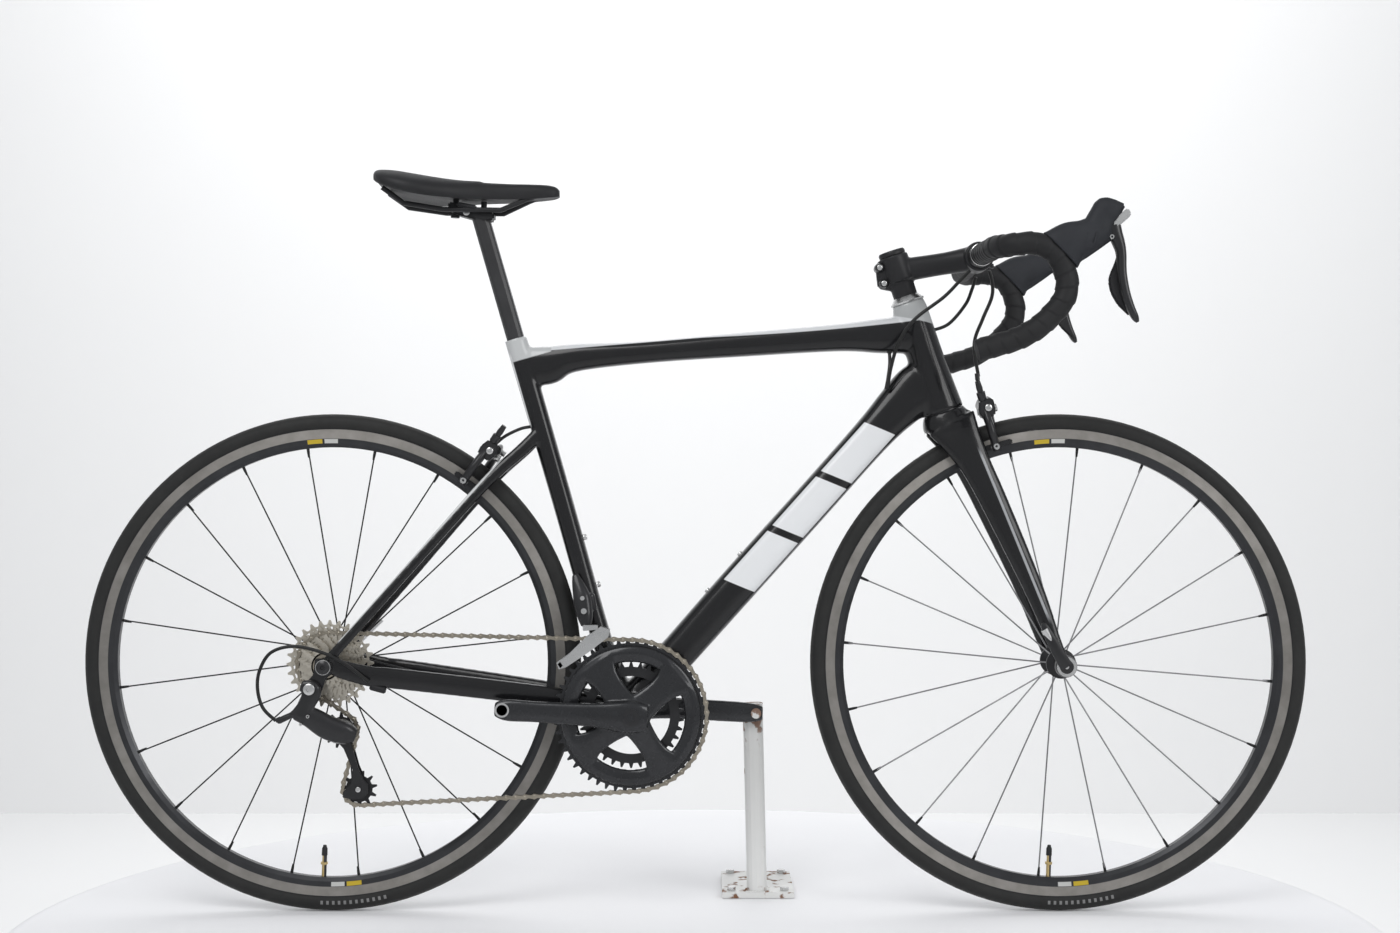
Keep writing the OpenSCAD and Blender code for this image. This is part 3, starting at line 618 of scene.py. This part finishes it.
# %% Hoods and levers
for tag, s in (("right", -1), ("left", 1)):
    y = s * HB
    bm = bmesh.new()
    loft_into(bm, [[457, y, 871, 16.4, 31], [470, y, 882.5, 17, 25.5], [488, y, 889, 16, 21.5],
                   [502, y, 897, 15, 20.5], [508.5, y, 911, 14, 17.5],
                   [516.5, y, 923, 13.5, 18.5], [520, y, 931.5, 11.5, 15], [521.5, y, 936, 7, 8]], power=0.85)
    plate_into(bm, [(434, 894.5), (458, 896.6), (479.8, 900.6), (491.8, 908.5), (497.8, 920.4), (502.6, 932),
                    (511, 937), (523, 936.2), (540, 928.6), (533, 918),
                    (527, 909), (524, 897.7), (524, 886), (506.2, 873), (487, 859.8), (478, 855), (455, 875)],
                    y - 8.5, y + 8.5, 3)
    hood = fuse(keep("hood_" + tag, bm, hood_rubber), 1.2, 3)
    ride(hood, "fork_and_bar", *(["brake_hoods"] if s < 0 else []))
    bm = bmesh.new()
    for q in (3.5, 6.5, 9.5):
        plate_into(bm, [(458 + q * 4, 880), (460.5 + q * 4, 880), (464 + q * 4, 893), (461.5 + q * 4, 893)],
                   *sorted((y + s * 15.2, y + s * 16.1)), 0.3)
    ride(keep("hood_grip_ribs_" + tag, bm, hood_rubber), "fork_and_bar")
    name_plate = group("name_plate_" + tag, silver_metal,
        lambda b: plate_into(b, [(522, 898), (528, 900), (544, 914), (545, 917), (540.6, 924), (536, 921),
                                 (524, 909)], y - 9.8, y + 9.8, 2))
    ride(name_plate, "fork_and_bar")
    blade = loft("lever_blade_" + tag, black_metal,
                 [[524, y, 903, 10, 9], [526, y, 893, 10, 9], [530, y, 882, 9, 8], [533.5, y, 868, 8, 6.5],
                  [534.5, y, 845, 7.5, 6], [538, y, 822, 8, 6], [544, y, 803, 8, 5.5],
                  [551, y, 788, 6.5, 4.5], [554.5, y, 782, 3, 2]])
    ride(blade, "brake_lever_" + tag, "brake_lever_" + tag)
    paddle = group("shift_paddle_" + tag, plastic,
        lambda b: plate_into(b, [(530, 868), (526, 855), (520.5, 843), (518.5, 833), (521.5, 819), (530, 804),
                                 (545, 789.5), (549, 791), (543, 808), (538, 830), (535, 850), (534, 866)],
                             *sorted((y - s * 3, y - s * 10)), 2.2))
    ride(paddle, "brake_lever_" + tag)
    ride(group("lever_pivot_" + tag, silver_metal,
               lambda b: bolt_into(b, (520.5, y - s * 0.5, 888), (0, s, 0), 3.2, 10)), "brake_lever_" + tag)
print("levers made")

# %% [markdown]
# Wheels keep their solid-model tyres, rims and hubs, whose round sections are already exact, and get
# their own finishes. Valves, nipples and hub caps are small turned parts that ride with each wheel.

# %% Wheels
def paint(node, mat):
    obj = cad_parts[node]
    obj.data.materials.clear()
    obj.data.materials.append(mat)


for k, (cx, cz) in AXLE.items():
    cx, cz = cx * 1000, cz * 1000
    paint(k + "_tyre", tyres[k]); paint(k + "_rim", rims[k]); paint(k + "_hub", satin_black)
    paint(k + "_axle", silver_metal)
    paint(k + "_spokes", spoke_steel if k == "front" else spoke_dark)
    nip = []
    for i in range(20):
        a = math.radians((66.8 if k == "front" else 60.8) - 18 * i)
        d = Vector((math.cos(a), 0, math.sin(a)))
        nip.append(lambda b, d=d: turned_into(b, Vector((cx, 0, cz)) + d * 279, d,
                                              [[0, 1.4], [6, 1.9], [12.5, 2.1], [13, 3.2], [14, 3.2]], 10))
    ride(group(k + "_nipples", spoke_dark, *nip), k + "_wheel")
    up = Vector((0.035, 0, 1)).normalized()
    foot = Vector((cx - 13, 0, cz - 291))
    valve = group(k + "_valve", brass, lambda b: turned_into(b, foot, up,
                                                             [[0, 3.1], [16, 3.05], [17, 4.8], [20, 4.8],
                                                                 [20.5, 2.9], [30, 2.9]], 20))
    ride(valve, k + "_wheel")
    ride(group(k + "_valve_cap", plastic,
               lambda b: turned_into(b, foot + up * 29, up, [[0, 3.9], [9, 3.8], [12, 2.6], [14, 2.2]], 20)),
               k + "_wheel")
for k, s, r in (("front", -1, 14.5), ("rear", -1, 10)):
    cx = AXLE[k][0] * 1000
    nut = group(k + "_skewer_nut", black_metal,
                lambda b: turned_into(b, (cx, s * (59.5 if k == "front" else 71.2), AXLE_Z), (0, s, 0),
        [[0, r], [6, r], [9, r * 0.9], [11, r * 0.55], [11, 3], [9, 2.6]], 40))
    ride(nut, "fork_and_bar" if k == "front" else "frame")
quick = loft("front_skewer_lever", black_metal,
             [[HALF_BASE, -69, AXLE_Z, 3, 9], [482, -70.5, 350, 3, 8], [470, -71, 372, 2.8, 7],
              [462, -70, 388, 2.5, 5], [459, -69.5, 394, 1.5, 2]])
ride(quick, "fork_and_bar")
print("wheels dressed")

# %% [markdown]
# The chain is the real count of links, inner and outer plates in turn, laid along the same path round
# the sprockets as the solid model's. Each plate is a waisted figure of eight, joined by rollers.

# %% Chain
PITCH = 12.7
def pitch_r(n): return n * PITCH / (2 * math.pi)
K = [(-86, 269, pitch_r(50), 1, -46.5), (-450.4, 169.6, pitch_r(11), 1, -34.3),
     (-474, 248, pitch_r(11), -1, -34.3), (-HALF_BASE, AXLE_Z, pitch_r(21), 1, -34.3)]
TH = []
for i in range(4):
    a, b = K[i], K[(i + 1) % 4]
    TH.append(math.atan2(b[1] - a[1], b[0] - a[0])
              - math.asin((a[3] * a[2] - b[3] * b[2]) / math.hypot(b[0] - a[0], b[1] - a[1])))
def on(i, g): return Vector((K[i][0] + K[i][2] * math.cos(g), K[i][4], K[i][1] + K[i][2] * math.sin(g)))
segs = []
for i in range(4):
    start = TH[i - 1] + math.pi / 2 * K[i][3]
    sweep = ((TH[i - 1] - TH[i]) * K[i][3]) % (2 * math.pi)
    a = on(i, TH[i] + math.pi / 2 * K[i][3]); j = (i + 1) % 4
    b = on(j, TH[i] + math.pi / 2 * K[j][3])
    segs.append((i, start, sweep * K[i][2], a, b, Vector((a.x - b.x, 0, a.z - b.z)).length))
TOTAL = sum(q[2] + q[5] for q in segs)


def chain_at(s):
    s %= TOTAL
    for i, start, arc, a, b, run in segs:
        if s < arc:
            return on(i, start - K[i][3] * s / K[i][2])
        s -= arc
        if s < run:
            p = a.lerp(b, s / run)
            p.y = a.y + (b.y - a.y) * min(max((s / run - 0.12) / 0.76, 0), 1)
            return p
        s -= run


def chain_into(bm, links=110):
    step = TOTAL / links
    outline = []
    for k in range(16):
        g = 2 * math.pi * k / 16
        x = math.copysign(5.9 if abs(math.cos(g)) > 0.3 else 1.6, math.cos(g)) + 3.4 * math.cos(g)
        outline.append((x, 3.9 * math.sin(g) * (0.45 if abs(math.cos(g)) < 0.3 else 1)))
    for k in range(links):
        a, b = chain_at(k * step), chain_at((k + 1) * step)
        t = (b - a).normalized(); n = Vector((-t.z, 0, t.x)); c = (a + b) / 2
        o = 2.0 if k % 2 == 0 else 1.2
        for y0 in (o, -o - 0.7):
            low = [bm.verts.new((c + t * x + n * z + Vector((0, y0, 0))) * MM) for x, z in outline]
            high = [bm.verts.new((c + t * x + n * z + Vector((0, y0 + 0.7, 0))) * MM) for x, z in outline]
            for q in range(16):
                bm.faces.new((low[q], low[(q + 1) % 16], high[(q + 1) % 16], high[q]))
            bm.faces.new(low); bm.faces.new(high[::-1])
        turned_into(bm, a + Vector((0, -3, 0)), (0, 1, 0),
                    [[0, 1.4], [0.3, 1.8], [1.9, 1.8], [1.9, 3.5], [4.1, 3.5], [4.1, 1.8], [5.7, 1.8],
                     [6, 1.4]], 12)


chain = group("roller_chain", nickel, chain_into)
ride(chain, "frame", "chain")
print("chain length mm", round(TOTAL, 1))

# %% [markdown]
# The crankset's right arm is hollow forged and flows into four spider arms, unevenly spaced, that carry
# the chainrings. Fusing an arm loft with the spider and an outer ring gives those flowing roots.

# %% Crankset
CRANK_LENGTH = 170
PEDAL_BORE_R = 7.14
SPIDER = ((40, 20), (125, 20), (215, 18), (303, 18))  # direction in degrees, width
B = Vector((-86, 0, 269))
T = math.radians(3.4)
arm = Vector((-CRANK_LENGTH * math.cos(T), 0, CRANK_LENGTH * math.sin(T)))
bm = bmesh.new()
loft_into(bm, [section(B - arm * 0.13, -62, 6, 17), section(B, -64, 8.5, 21),
               section(B + arm * 0.3, -65.5, 7.4, 16), section(B + arm * 0.7, -66, 7, 14),
               section(B + arm * 0.96, -66, 7, 14.5), section(B + arm * 1.06, -66, 6.5, 9)], power=0.7)
for deg, wide in SPIDER:
    d = Vector((math.cos(math.radians(deg)), 0, math.sin(math.radians(deg))))
    loft_into(bm, [section(B + d * 8, -60, 6, wide + 2), section(B + d * 35, -56.5, 5, wide - 2),
                   section(B + d * 60, -54, 4.2, wide - 1), section(B + d * 84, -52.5, 3.4, wide + 10)],
                   power=0.75)
    turned_into(bm, B + d * 64 + Vector((0, -54, 0)), (0, 1, 0), [[0, 6], [15, 6]], 20)
prof = [(71, -50), (74, -53), (84, -55.5), (92, -53), (94, -49), (92, -48), (72, -48)]
loops = [[bm.verts.new((B + Vector((math.cos(2 * math.pi * k / 96) * r, y,
                                    math.sin(2 * math.pi * k / 96) * r))) * MM) for r, y in prof]
                                    for k in range(96)]
for k in range(96):
    for q in range(len(prof)):
        bm.faces.new((loops[k][q], loops[k][(q + 1) % 7], loops[(k + 1) % 96][(q + 1) % 7],
                      loops[(k + 1) % 96][q]))
right = fuse(keep("crank_arm_right", bm, crank_grey), 1.5, 2)
drill(right, B + arm + Vector((0, -90, 0)), (0, 1, 0), PEDAL_BORE_R, 50)
ride(right, "crankset", "crank_right")
bm = bmesh.new()
loft_into(bm, [section(B + arm * 0.1, 64, 7, 17), section(B, 65, 7.5, 20),
               section(B - arm * 0.3, 66, 6.5, 15), section(B - arm * 0.9, 66.5, 6.3, 14),
               section(B - arm * 1.055, 66.5, 6, 9.5)], power=0.7)
turned_into(bm, B + Vector((0, 51, 0)), (0, 1, 0), [[0, 19], [12, 20], [20, 19]], 40)
left = fuse(keep("crank_arm_left", bm, crank_grey), 1.4, 2)
drill(left, B - arm + Vector((0, 50, 0)), (0, 1, 0), PEDAL_BORE_R, 50)
ride(left, "crankset", "crank_left")
eye = group("pedal_eye_inserts", silver_metal,
    lambda b: turned_into(b, B + arm + Vector((0, -72.2, 0)), (0, -1, 0),
                          [[-1, 9.6], [0.9, 9.6], [0.9, 7.2], [-1, 7.2], [-1, 9.6]], 32))
ride(eye, "crankset")
hub = group("crank_cap_and_bolts", black_metal,
    lambda b: bolt_into(b, B + Vector((0, -71.5, 0)), (0, -1, 0), 12, 1.3),
    lambda b: bolt_into(b, B + Vector((0, 71, 0)), (0, 1, 0), 13, 2),
    lambda b: bolt_into(b, B + Vector((6, 60, 20)), (0, 0, 1), 3.4, 4),
    *[lambda b, d=d: bolt_into(b, B + Vector((math.cos(math.radians(d)) * 64, -38,
                                              math.sin(math.radians(d)) * 64)), (0, 1, 0), 6, 2) for d,
                                              _ in SPIDER])
ride(hub, "crankset")
paint("chainring_outer", crank_grey); paint("chainring_inner", black_metal)
paint("crank_spindle", silver_metal); paint("guide_pulley", plastic); paint("tension_pulley", plastic)
def sprocket_into(bm, teeth, y, turn, inner, windows):
    """Teeth on a band, and a web inside it with lightening windows."""
    r, rows = pitch_r(teeth), []
    for k in range(teeth):
        for off, h in ((-0.36, -4.0), (-0.27, -3.2), (-0.09, 2.2), (0.09, 2.2), (0.27, -3.2), (0.36, -4.0)):
            a = turn + 2 * math.pi * (k + 0.5 + off) / teeth
            rows.append((a, r + h))
    n = len(rows)
    rad = [lambda q: rows[q][1], lambda q: r - 6.8, lambda q: max(inner + 3, r - 11), lambda q: inner]
    grid = [[[bm.verts.new(Vector((-HALF_BASE + f(q) * math.cos(rows[q][0]), y + side,
                                   AXLE_Z + f(q) * math.sin(rows[q][0]))) * MM)
              for q in range(n)] for f in rad] for side in (-0.8, 0.8)]
    for q in range(n):
        w = (q + 1) % n
        for band in range(3):
            hole = windows and band == 1 and (q // 3) % 3 != 0
            if not hole:
                for g, flip in ((grid[0], False), (grid[1], True)):
                    f = (g[band][q], g[band][w], g[band + 1][w], g[band + 1][q])
                    bm.faces.new(f[::-1] if flip else f)
        bm.faces.new((grid[0][0][q], grid[0][0][w], grid[1][0][w], grid[1][0][q]))
        bm.faces.new((grid[0][3][q], grid[0][3][w], grid[1][3][w], grid[1][3][q]))


COGS = (11, 12, 13, 14, 15, 17, 19, 21, 23, 25, 28)
sprockets = group("sprocket_stack", champagne,
    *[lambda b, i=i, t=t: sprocket_into(b, t, -60.5 + 3.74 * i, math.radians(i * 11),
                                        max(15.5, pitch_r(t) - (20 if i > 4 else 9)), i > 4) for i,
                                        t in enumerate(COGS)],
    *[lambda b, i=i: turned_into(b, (-HALF_BASE, -60.5 + 3.74 * i, AXLE_Z), (0, 1, 0),
                                 [[0.8, max(15.6, pitch_r(COGS[i]) - 7)],
                                  [2.9, max(15.6, pitch_r(COGS[i]) - 7)]], 40) for i in range(5)],
    lambda b: turned_into(b, (-HALF_BASE, -61, AXLE_Z), (0, 1, 0), [[0, 16], [39, 16]], 40))
ride(sprockets, "cassette", "cassette")
lock = group("cassette_lockring", nickel,
             lambda b: turned_into(b, (-HALF_BASE, -61, AXLE_Z), (0, -1, 0),
                                   [[0, 17], [2, 16], [2.4, 12], [1.2, 11]], 36))
ride(lock, "cassette")
print("crankset made")

# %% [markdown]
# The rear derailleur hangs from its bolt: a top knuckle, a bulky parallelogram and a cage that carries
# two toothed pulleys. Cast parts have soft edges, so plates and lofts are fused at a fine voxel.

# %% Derailleurs
bm = bmesh.new()
loft_into(bm, [[-520, -77, 312, 5, 7], [-506, -77, 306, 6.5, 13], [-512, -77, 288, 6, 11],
               [-522, -77, 272, 7, 12]], power=0.85)
loft_into(bm, [[-528, -76, 276, 7, 9], [-508, -74, 270, 9, 14], [-486, -70, 256, 11, 16],
               [-464, -64, 248, 12, 15], [-452, -60, 244, 10, 10]], power=0.8)
loft_into(bm, [[-484, -58, 252, 9, 14], [-470, -52, 250, 11, 15], [-458, -50, 246, 8, 12]], power=0.85)
turned_into(bm, (-527, -78, 276), (-0.9, 0, -0.42), [[0, 5], [4, 5], [5, 4], [16, 4.4], [24, 4.4], [27, 3]],
            24)
turned_into(bm, (-474, -46, 248), (0, -1, 0), [[0, 12.5], [20, 14], [30, 11]], 36)
body = fuse(keep("derailleur_casting", bm, black_metal), 1.0, 2)
ride(body, "frame", "derailleur_body")
ride(group("derailleur_bolts", silver_metal, lambda b: bolt_into(b, (-508, -83.5, 308), (0, -1, 0), 7.5, 3.4),
    lambda b: bolt_into(b, (-510, -81, 272), (0, -1, 0), 2.6, 3),
    lambda b: bolt_into(b, (-519, -82, 262), (0, -1, 0), 2.2, 3)), "frame")
cage = group("pulley_cage", black_metal,
    *[lambda b, y=y: plate_into(b, [(-486, 256), (-478, 265), (-465, 263), (-460, 250), (-460, 232),
                                    (-451, 200), (-444, 184), (-437, 176), (-437, 164), (-445, 157),
                                    (-458, 156), (-471, 159), (-471, 166), (-460, 178), (-458, 196),
                                    (-470, 224), (-486, 242)], y, y + 1.8, 0.5) for y in (-42.3, -28)],
    *[lambda b, p=p: turned_into(b, (p[0], -43.5, p[1]), (0, 1, 0),
                                 [[0, 3.5], [1, 4.2], [1, 2.9], [18, 2.9], [18, 4.2], [19, 3.5]], 24)
                                 for p in ((-474, 248), (-450.4, 169.6))])
ride(cage, "cage", "derailleur_cage")
ride(group("pulley_bolts", silver_metal,
           *[lambda b, p=p: bolt_into(b, (p[0], -43, p[1]), (0, -1, 0), 3.4, 1.4)
             for p in ((-474, 248), (-450.4, 169.6))]), "cage")
fd = group("front_derailleur_cage", silver_metal,
    *[lambda b, y=y: plate_into(b, [(-185, 340), (-182, 331), (-172, 334), (-142, 354), (-116, 374),
                                    (-114, 384), (-126, 388), (-146, 374), (-168, 352)], y, y + 1, 0.3)
                                    for y in (-53, -40.8)],
    lambda b: plate_into(b, [(-184, 338), (-180, 332), (-176, 336), (-180, 342)], -53, -40, 0.4),
    lambda b: plate_into(b, [(-150, 382), (-130, 384), (-130, 390), (-150, 390)], -53, -40, 1))
ride(fd, "frame", "front_derailleur")
bm = bmesh.new()
loft_into(bm, [[-146, -36, 388, 9, 7], [-148, -33, 402, 11, 11], [-152, -30, 424, 10, 12],
               [-158, -28, 444, 6, 8], [-162, -26, 456, 3, 4]], power=0.8)
plate_into(bm, [(-156, 402), (-132, 408), (-136, 432), (-160, 430)], -30, -18, 2)
ride(fuse(keep("front_derailleur_body", bm, black_metal), 1.1, 2), "frame")
ride(group("front_derailleur_bolts", silver_metal, lambda b: bolt_into(b, (-149, -44, 408), (0, -1, 0), 4, 3),
           lambda b: bolt_into(b, (-151, -40, 425), (0, -1, 0), 3.2, 3)), "frame")
print("derailleurs made")

# %% [markdown]
# A dual pivot caliper is a pair of forged arms on one bolt. Each arm curves round the tyre to a rubber
# pad that faces the rim's machined track. The arms are lofts in the caliper's own tilted plane.

# %% Brake calipers
def caliper(where, bolt, tilt, parent):
    turn = Matrix.Translation(Vector((bolt[0], 0, bolt[1])) * MM) @ Matrix.Rotation(math.radians(tilt), 4,
        "Y")
    def place(obj):
        obj.data.transform(turn)
        return obj
    for tag, s, x in (("right", -1, -1), ("left", 1, 10)):
        bm = bmesh.new()
        rows = [(x, s * -14, 8), (x, 0, 7), (x, s * 16, 2), (x, s * 27, -12), (x, s * 31, -30),
                (x, s * 27, -46), (x, s * 25, -55)]
        wide = (7, 11, 10.5, 8.5, 7.5, 7, 6)
        rings = []
        dense = curve_through([[*r, w] for r, w in zip(rows, wide)], 6)
        for i, (px, py, pz, w) in enumerate(dense):
            a = Vector(dense[max(i - 1, 0)][:3]); b = Vector(dense[min(i + 1, len(dense) - 1)][:3])
            t = (b - a).normalized(); v = t.cross(Vector((1, 0, 0))).normalized()
            rings.append([bm.verts.new((Vector((px, py, pz)) + Vector((1, 0, 0)) * 5.6 * math.cos(g)
                                        + v * w * math.sin(g)) * MM)
                          for g in [2 * math.pi * k / 20 for k in range(20)]])
        for a, b in zip(rings, rings[1:]):
            for k in range(20):
                bm.faces.new((a[k], a[(k + 1) % 20], b[(k + 1) % 20], b[k]))
        bm.faces.new(rings[0]); bm.faces.new(rings[-1])
        ride(place(keep(f"{where}_brake_arm_{tag}", bm, black_metal)), f"{where}_caliper_{tag}",
             f"{where}_caliper_{tag}")
        pad = group(f"{where}_brake_pad_{tag}", plastic,
                    lambda b: plate_into(b,
                                         [(-16, -52.5), (22, -52.5), (24, -50), (22, -45.5), (-16, -45.5),
                                          (-18, -48)], *sorted((s * 12.2, s * 22)), 1.2))
        ride(place(pad), f"{where}_caliper_{tag}")
        shine = group(f"{where}_pad_bolt_{tag}", silver_metal,
                      lambda b: bolt_into(b, (x, s * 31, -50), (0, s, 0), 4.2, 3.5),
                      lambda b: turned_into(b, (x, s * 22, -50), (0, s, 0), [[0, 6], [3, 6], [3, 3], [10, 3]],
                                            20))
        ride(place(shine), f"{where}_caliper_{tag}")
    ride(place(group(f"{where}_caliper_bolt", silver_metal,
                     lambda b: bolt_into(b, (15, 0, 0), (1, 0, 0), 5.5, 4))), parent)
    screws = group(f"{where}_cable_screws", silver_metal,
                   lambda b: turned_into(b, (13, 20, 8), (1, 0, 0), [[0, 4], [7, 4]], 20),
                   lambda b: bolt_into(b, (4, -30, 3), (0, -1, 0), 4.6, 2.4))
    ride(place(screws), f"{where}_caliper_right")
    barrel = group(f"{where}_cable_barrel", black_metal,
                   lambda b: turned_into(b, (0, -24, 8), (0, -0.15, 1),
                                         [[0, 4], [6, 4.4], [8, 5.8], [18, 6], [19, 4], [24, 4.4], [34, 3.4]],
                                         20),
                   lambda b: plate_into(b, [(-8, -10), (10, -10), (14, 2), (10, 15), (-6, 15), (-10, 2)], -30,
                                        -13, 2),
                   lambda b: plate_into(b, [(-6, -6), (16, -6), (18, 4), (12, 11), (-4, 11)], 12, 26, 2))
    ride(place(barrel), f"{where}_caliper_right")
caliper("front", (390, 676), -16.6, "fork_and_bar")
caliper("rear", (-281, 622), 36.2, "frame")
print("calipers made")

# %% [markdown]
# Brake and gear cables run in smooth black housings. Each one is held at both ends by the bicycle, so it
# is a swept tube on its real route, with a metal ferrule where it enters its stop.

# %% Housings
def pipe_into(bm, pts, r):
    loft_into(bm, [[*p, r, r] for p in pts], steps=10, sides=14, power=1.0)


def housing(name, pts, across, *nodes, parent=None):
    """A stiff housing on one smooth curve.
    Without a parent it is baked in place and left unattached."""
    piece = group(name, cable_skin, lambda b: pipe_into(b, pts, across / 2))
    line = [Vector(q) * MM for q in curve_through(pts, 10)]
    if parent:
        ride(piece, parent, *nodes)
    else:
        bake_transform(piece)


housing("front_brake_housing", [[392, -44, 862], [396, -45, 845], [395, -44, 826], [383, -43, 797],
                                [373, -36, 765], [380, -26, 722]], 4.8,
        "front_housings", parent="fork_and_bar")
housing("rear_brake_housing", [[386, 44, 862], [381, 48, 845], [372, 50, 824], [348, 48, 797], [318, 38, 786],
                               [296, 24, 776]], 4.8)
housing("gear_housing", [[366, -44, 862], [350, -48, 846], [330, -50, 826], [292, -48, 797], [272, -42, 768],
                         [262, -35, 735], [258, -24, 706]], 4.8)
housing("derailleur_housing", [[-430, -78, 317], [-462, -78, 341], [-492, -78, 356], [-529, -78, 364],
                               [-559, -78, 356], [-574, -78, 333], [-577, -78, 308], [-570, -78, 283],
                               [-553, -78, 266]], 4.6,
        "rear_housing", parent="frame")
drop_line = group("down_tube_housing", cable_skin,
                  lambda b: pipe_into(b, [[262, -8, 756], [262, -14, 740], [259, -20, 720], [256, -22, 705]],
                                      2.3),
    lambda b: turned_into(b, (262, -8, 763), (0, -0.2, -1), [[0, 4.2], [7, 4.2], [9, 3]], 18))
ride(drop_line, "frame")
stop = group("chainstay_cable_stop", plastic,
             lambda b: turned_into(b, (-410, -64, 304), (-0.97, 0, 0.26),
                                   [[0, 3], [2, 4.6], [20, 4.6], [22, 3]], 20))
ride(stop, "frame")
brake_line = group("rear_brake_line", cable_skin,
                   lambda b: pipe_into(b,
                                       [[-222, -4, 655], [-236, -12, 652], [-256, -20, 642],
                                        [-270, -24, 630]], 2.2))
ride(brake_line, "frame")
stops = group("cable_ferrules", black_metal,
              lambda b: turned_into(b, (377.5, -29.4, 726), (0.1, 0, -1), [[0, 3.2], [9, 3.2], [10, 2.4]],
                                    18),
    lambda b: turned_into(b, (-553, -78, 266), (0.9, 0, 0.42), [[0, 3], [7, 3]], 18))
ride(stops, "fork_and_bar")
print("housings made")

# %% [markdown]
# The stand is a welded square post on a flat plate. Its white paint is chipped down to rust, most of all
# where the crank arm rubs. Its solid-model pieces are right already, so they only get that finish.

# %% Stand and other finishes
paint("stand_post", post_paint); paint("stand_base", post_paint); paint("stand_bolts", silver_metal)
weld = group("stand_weld_bead", post_paint,
             lambda b: [turned_into(b, (x, y, 8), (0, 0, 1), [[0, 2.6], [1.2, 2.3], [2, 1]], 10)
    for x, y in [(72 + i * 4, q) for i in range(8) for q in (75.9, 104.1)]
    + [(q, 77 + i * 4) for i in range(7) for q in (71.5, 100.5)]])
ride(weld, "stand")
paint("seatpost", post_carbon); paint("saddle_rails", satin_black); paint("handlebar", satin_black)
for node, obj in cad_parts.items():
    if not obj.data.materials or not obj.data.materials[0].use_nodes:
        print("plain node", node)

# %% [markdown]
# A white table and backdrop, a broad soft key from above in front, one fill off to the side and a wash
# on the backdrop keep black parts readable by giving them bright shapes to reflect.

# %% Stage and light
def stage_mesh(name, verts, color, rough):
    bm = bmesh.new()
    bm.faces.new([bm.verts.new(v) for v in verts])
    f = Finish(name, rough=rough, color=color)
    f.set(Base_Color=f.mix(f.noise(2, 3), tuple(c * 0.985 for c in color), color))
    obj = keep(name, bm, f.mat)
    return obj


table = Finish("table_cloth", rough=0.6, color=(0.9, 0.9, 0.91))
table.set(Base_Color=table.mix(table.noise(3, 3), (0.88, 0.88, 0.90), (0.93, 0.93, 0.94)))
table.bump(table.noise(40, 3), 0.0004)
group("table_top", table.mat, lambda b: turned_into(b, (0, -70, -0.6), (0, 0, -1),
    [[0, 880], [2, 892], [9, 899], [30, 902], [140, 910], [500, 925]], 128))
stage_mesh("floor", [(-9, -9, -0.55), (9, -9, -0.55), (9, 4, -0.55), (-9, 4, -0.55)], (0.86, 0.86, 0.86), 0.8)
stage_mesh("backdrop", [(-9, 4, -0.55), (9, 4, -0.55), (9, 4, 7), (-9, 4, 7)], (0.84, 0.84, 0.84), 0.9)
world = bpy.data.worlds.new("studio")
bpy.context.scene.world = world
world.use_nodes = True
world.node_tree.nodes["Background"].inputs[0].default_value = (0.95, 0.97, 1.0, 1)
world.node_tree.nodes["Background"].inputs[1].default_value = 0.52
for name, place, aim, size, power in (("key", (-1.5, -3.0, 3.4), (0, 0, 0.5), 2.2, 70),
                                      ("fill", (2.6, -2.4, 1.8), (0, 0, 0.5), 1.6, 34),
                                      ("wash", (0, 2.2, 3.4), (0, 4, 1.6), 3.5, 90)):
    lamp = bpy.data.lights.new(name, "AREA")
    lamp.energy, lamp.size = power, size
    obj = bpy.data.objects.new(name, lamp)
    bpy.context.scene.collection.objects.link(obj)
    obj.location = place
    obj.rotation_euler = (Vector(aim) - Vector(place)).to_track_quat("-Z", "Y").to_euler()
bpy.context.scene.view_settings.view_transform = "Standard"
print("lights", 3)
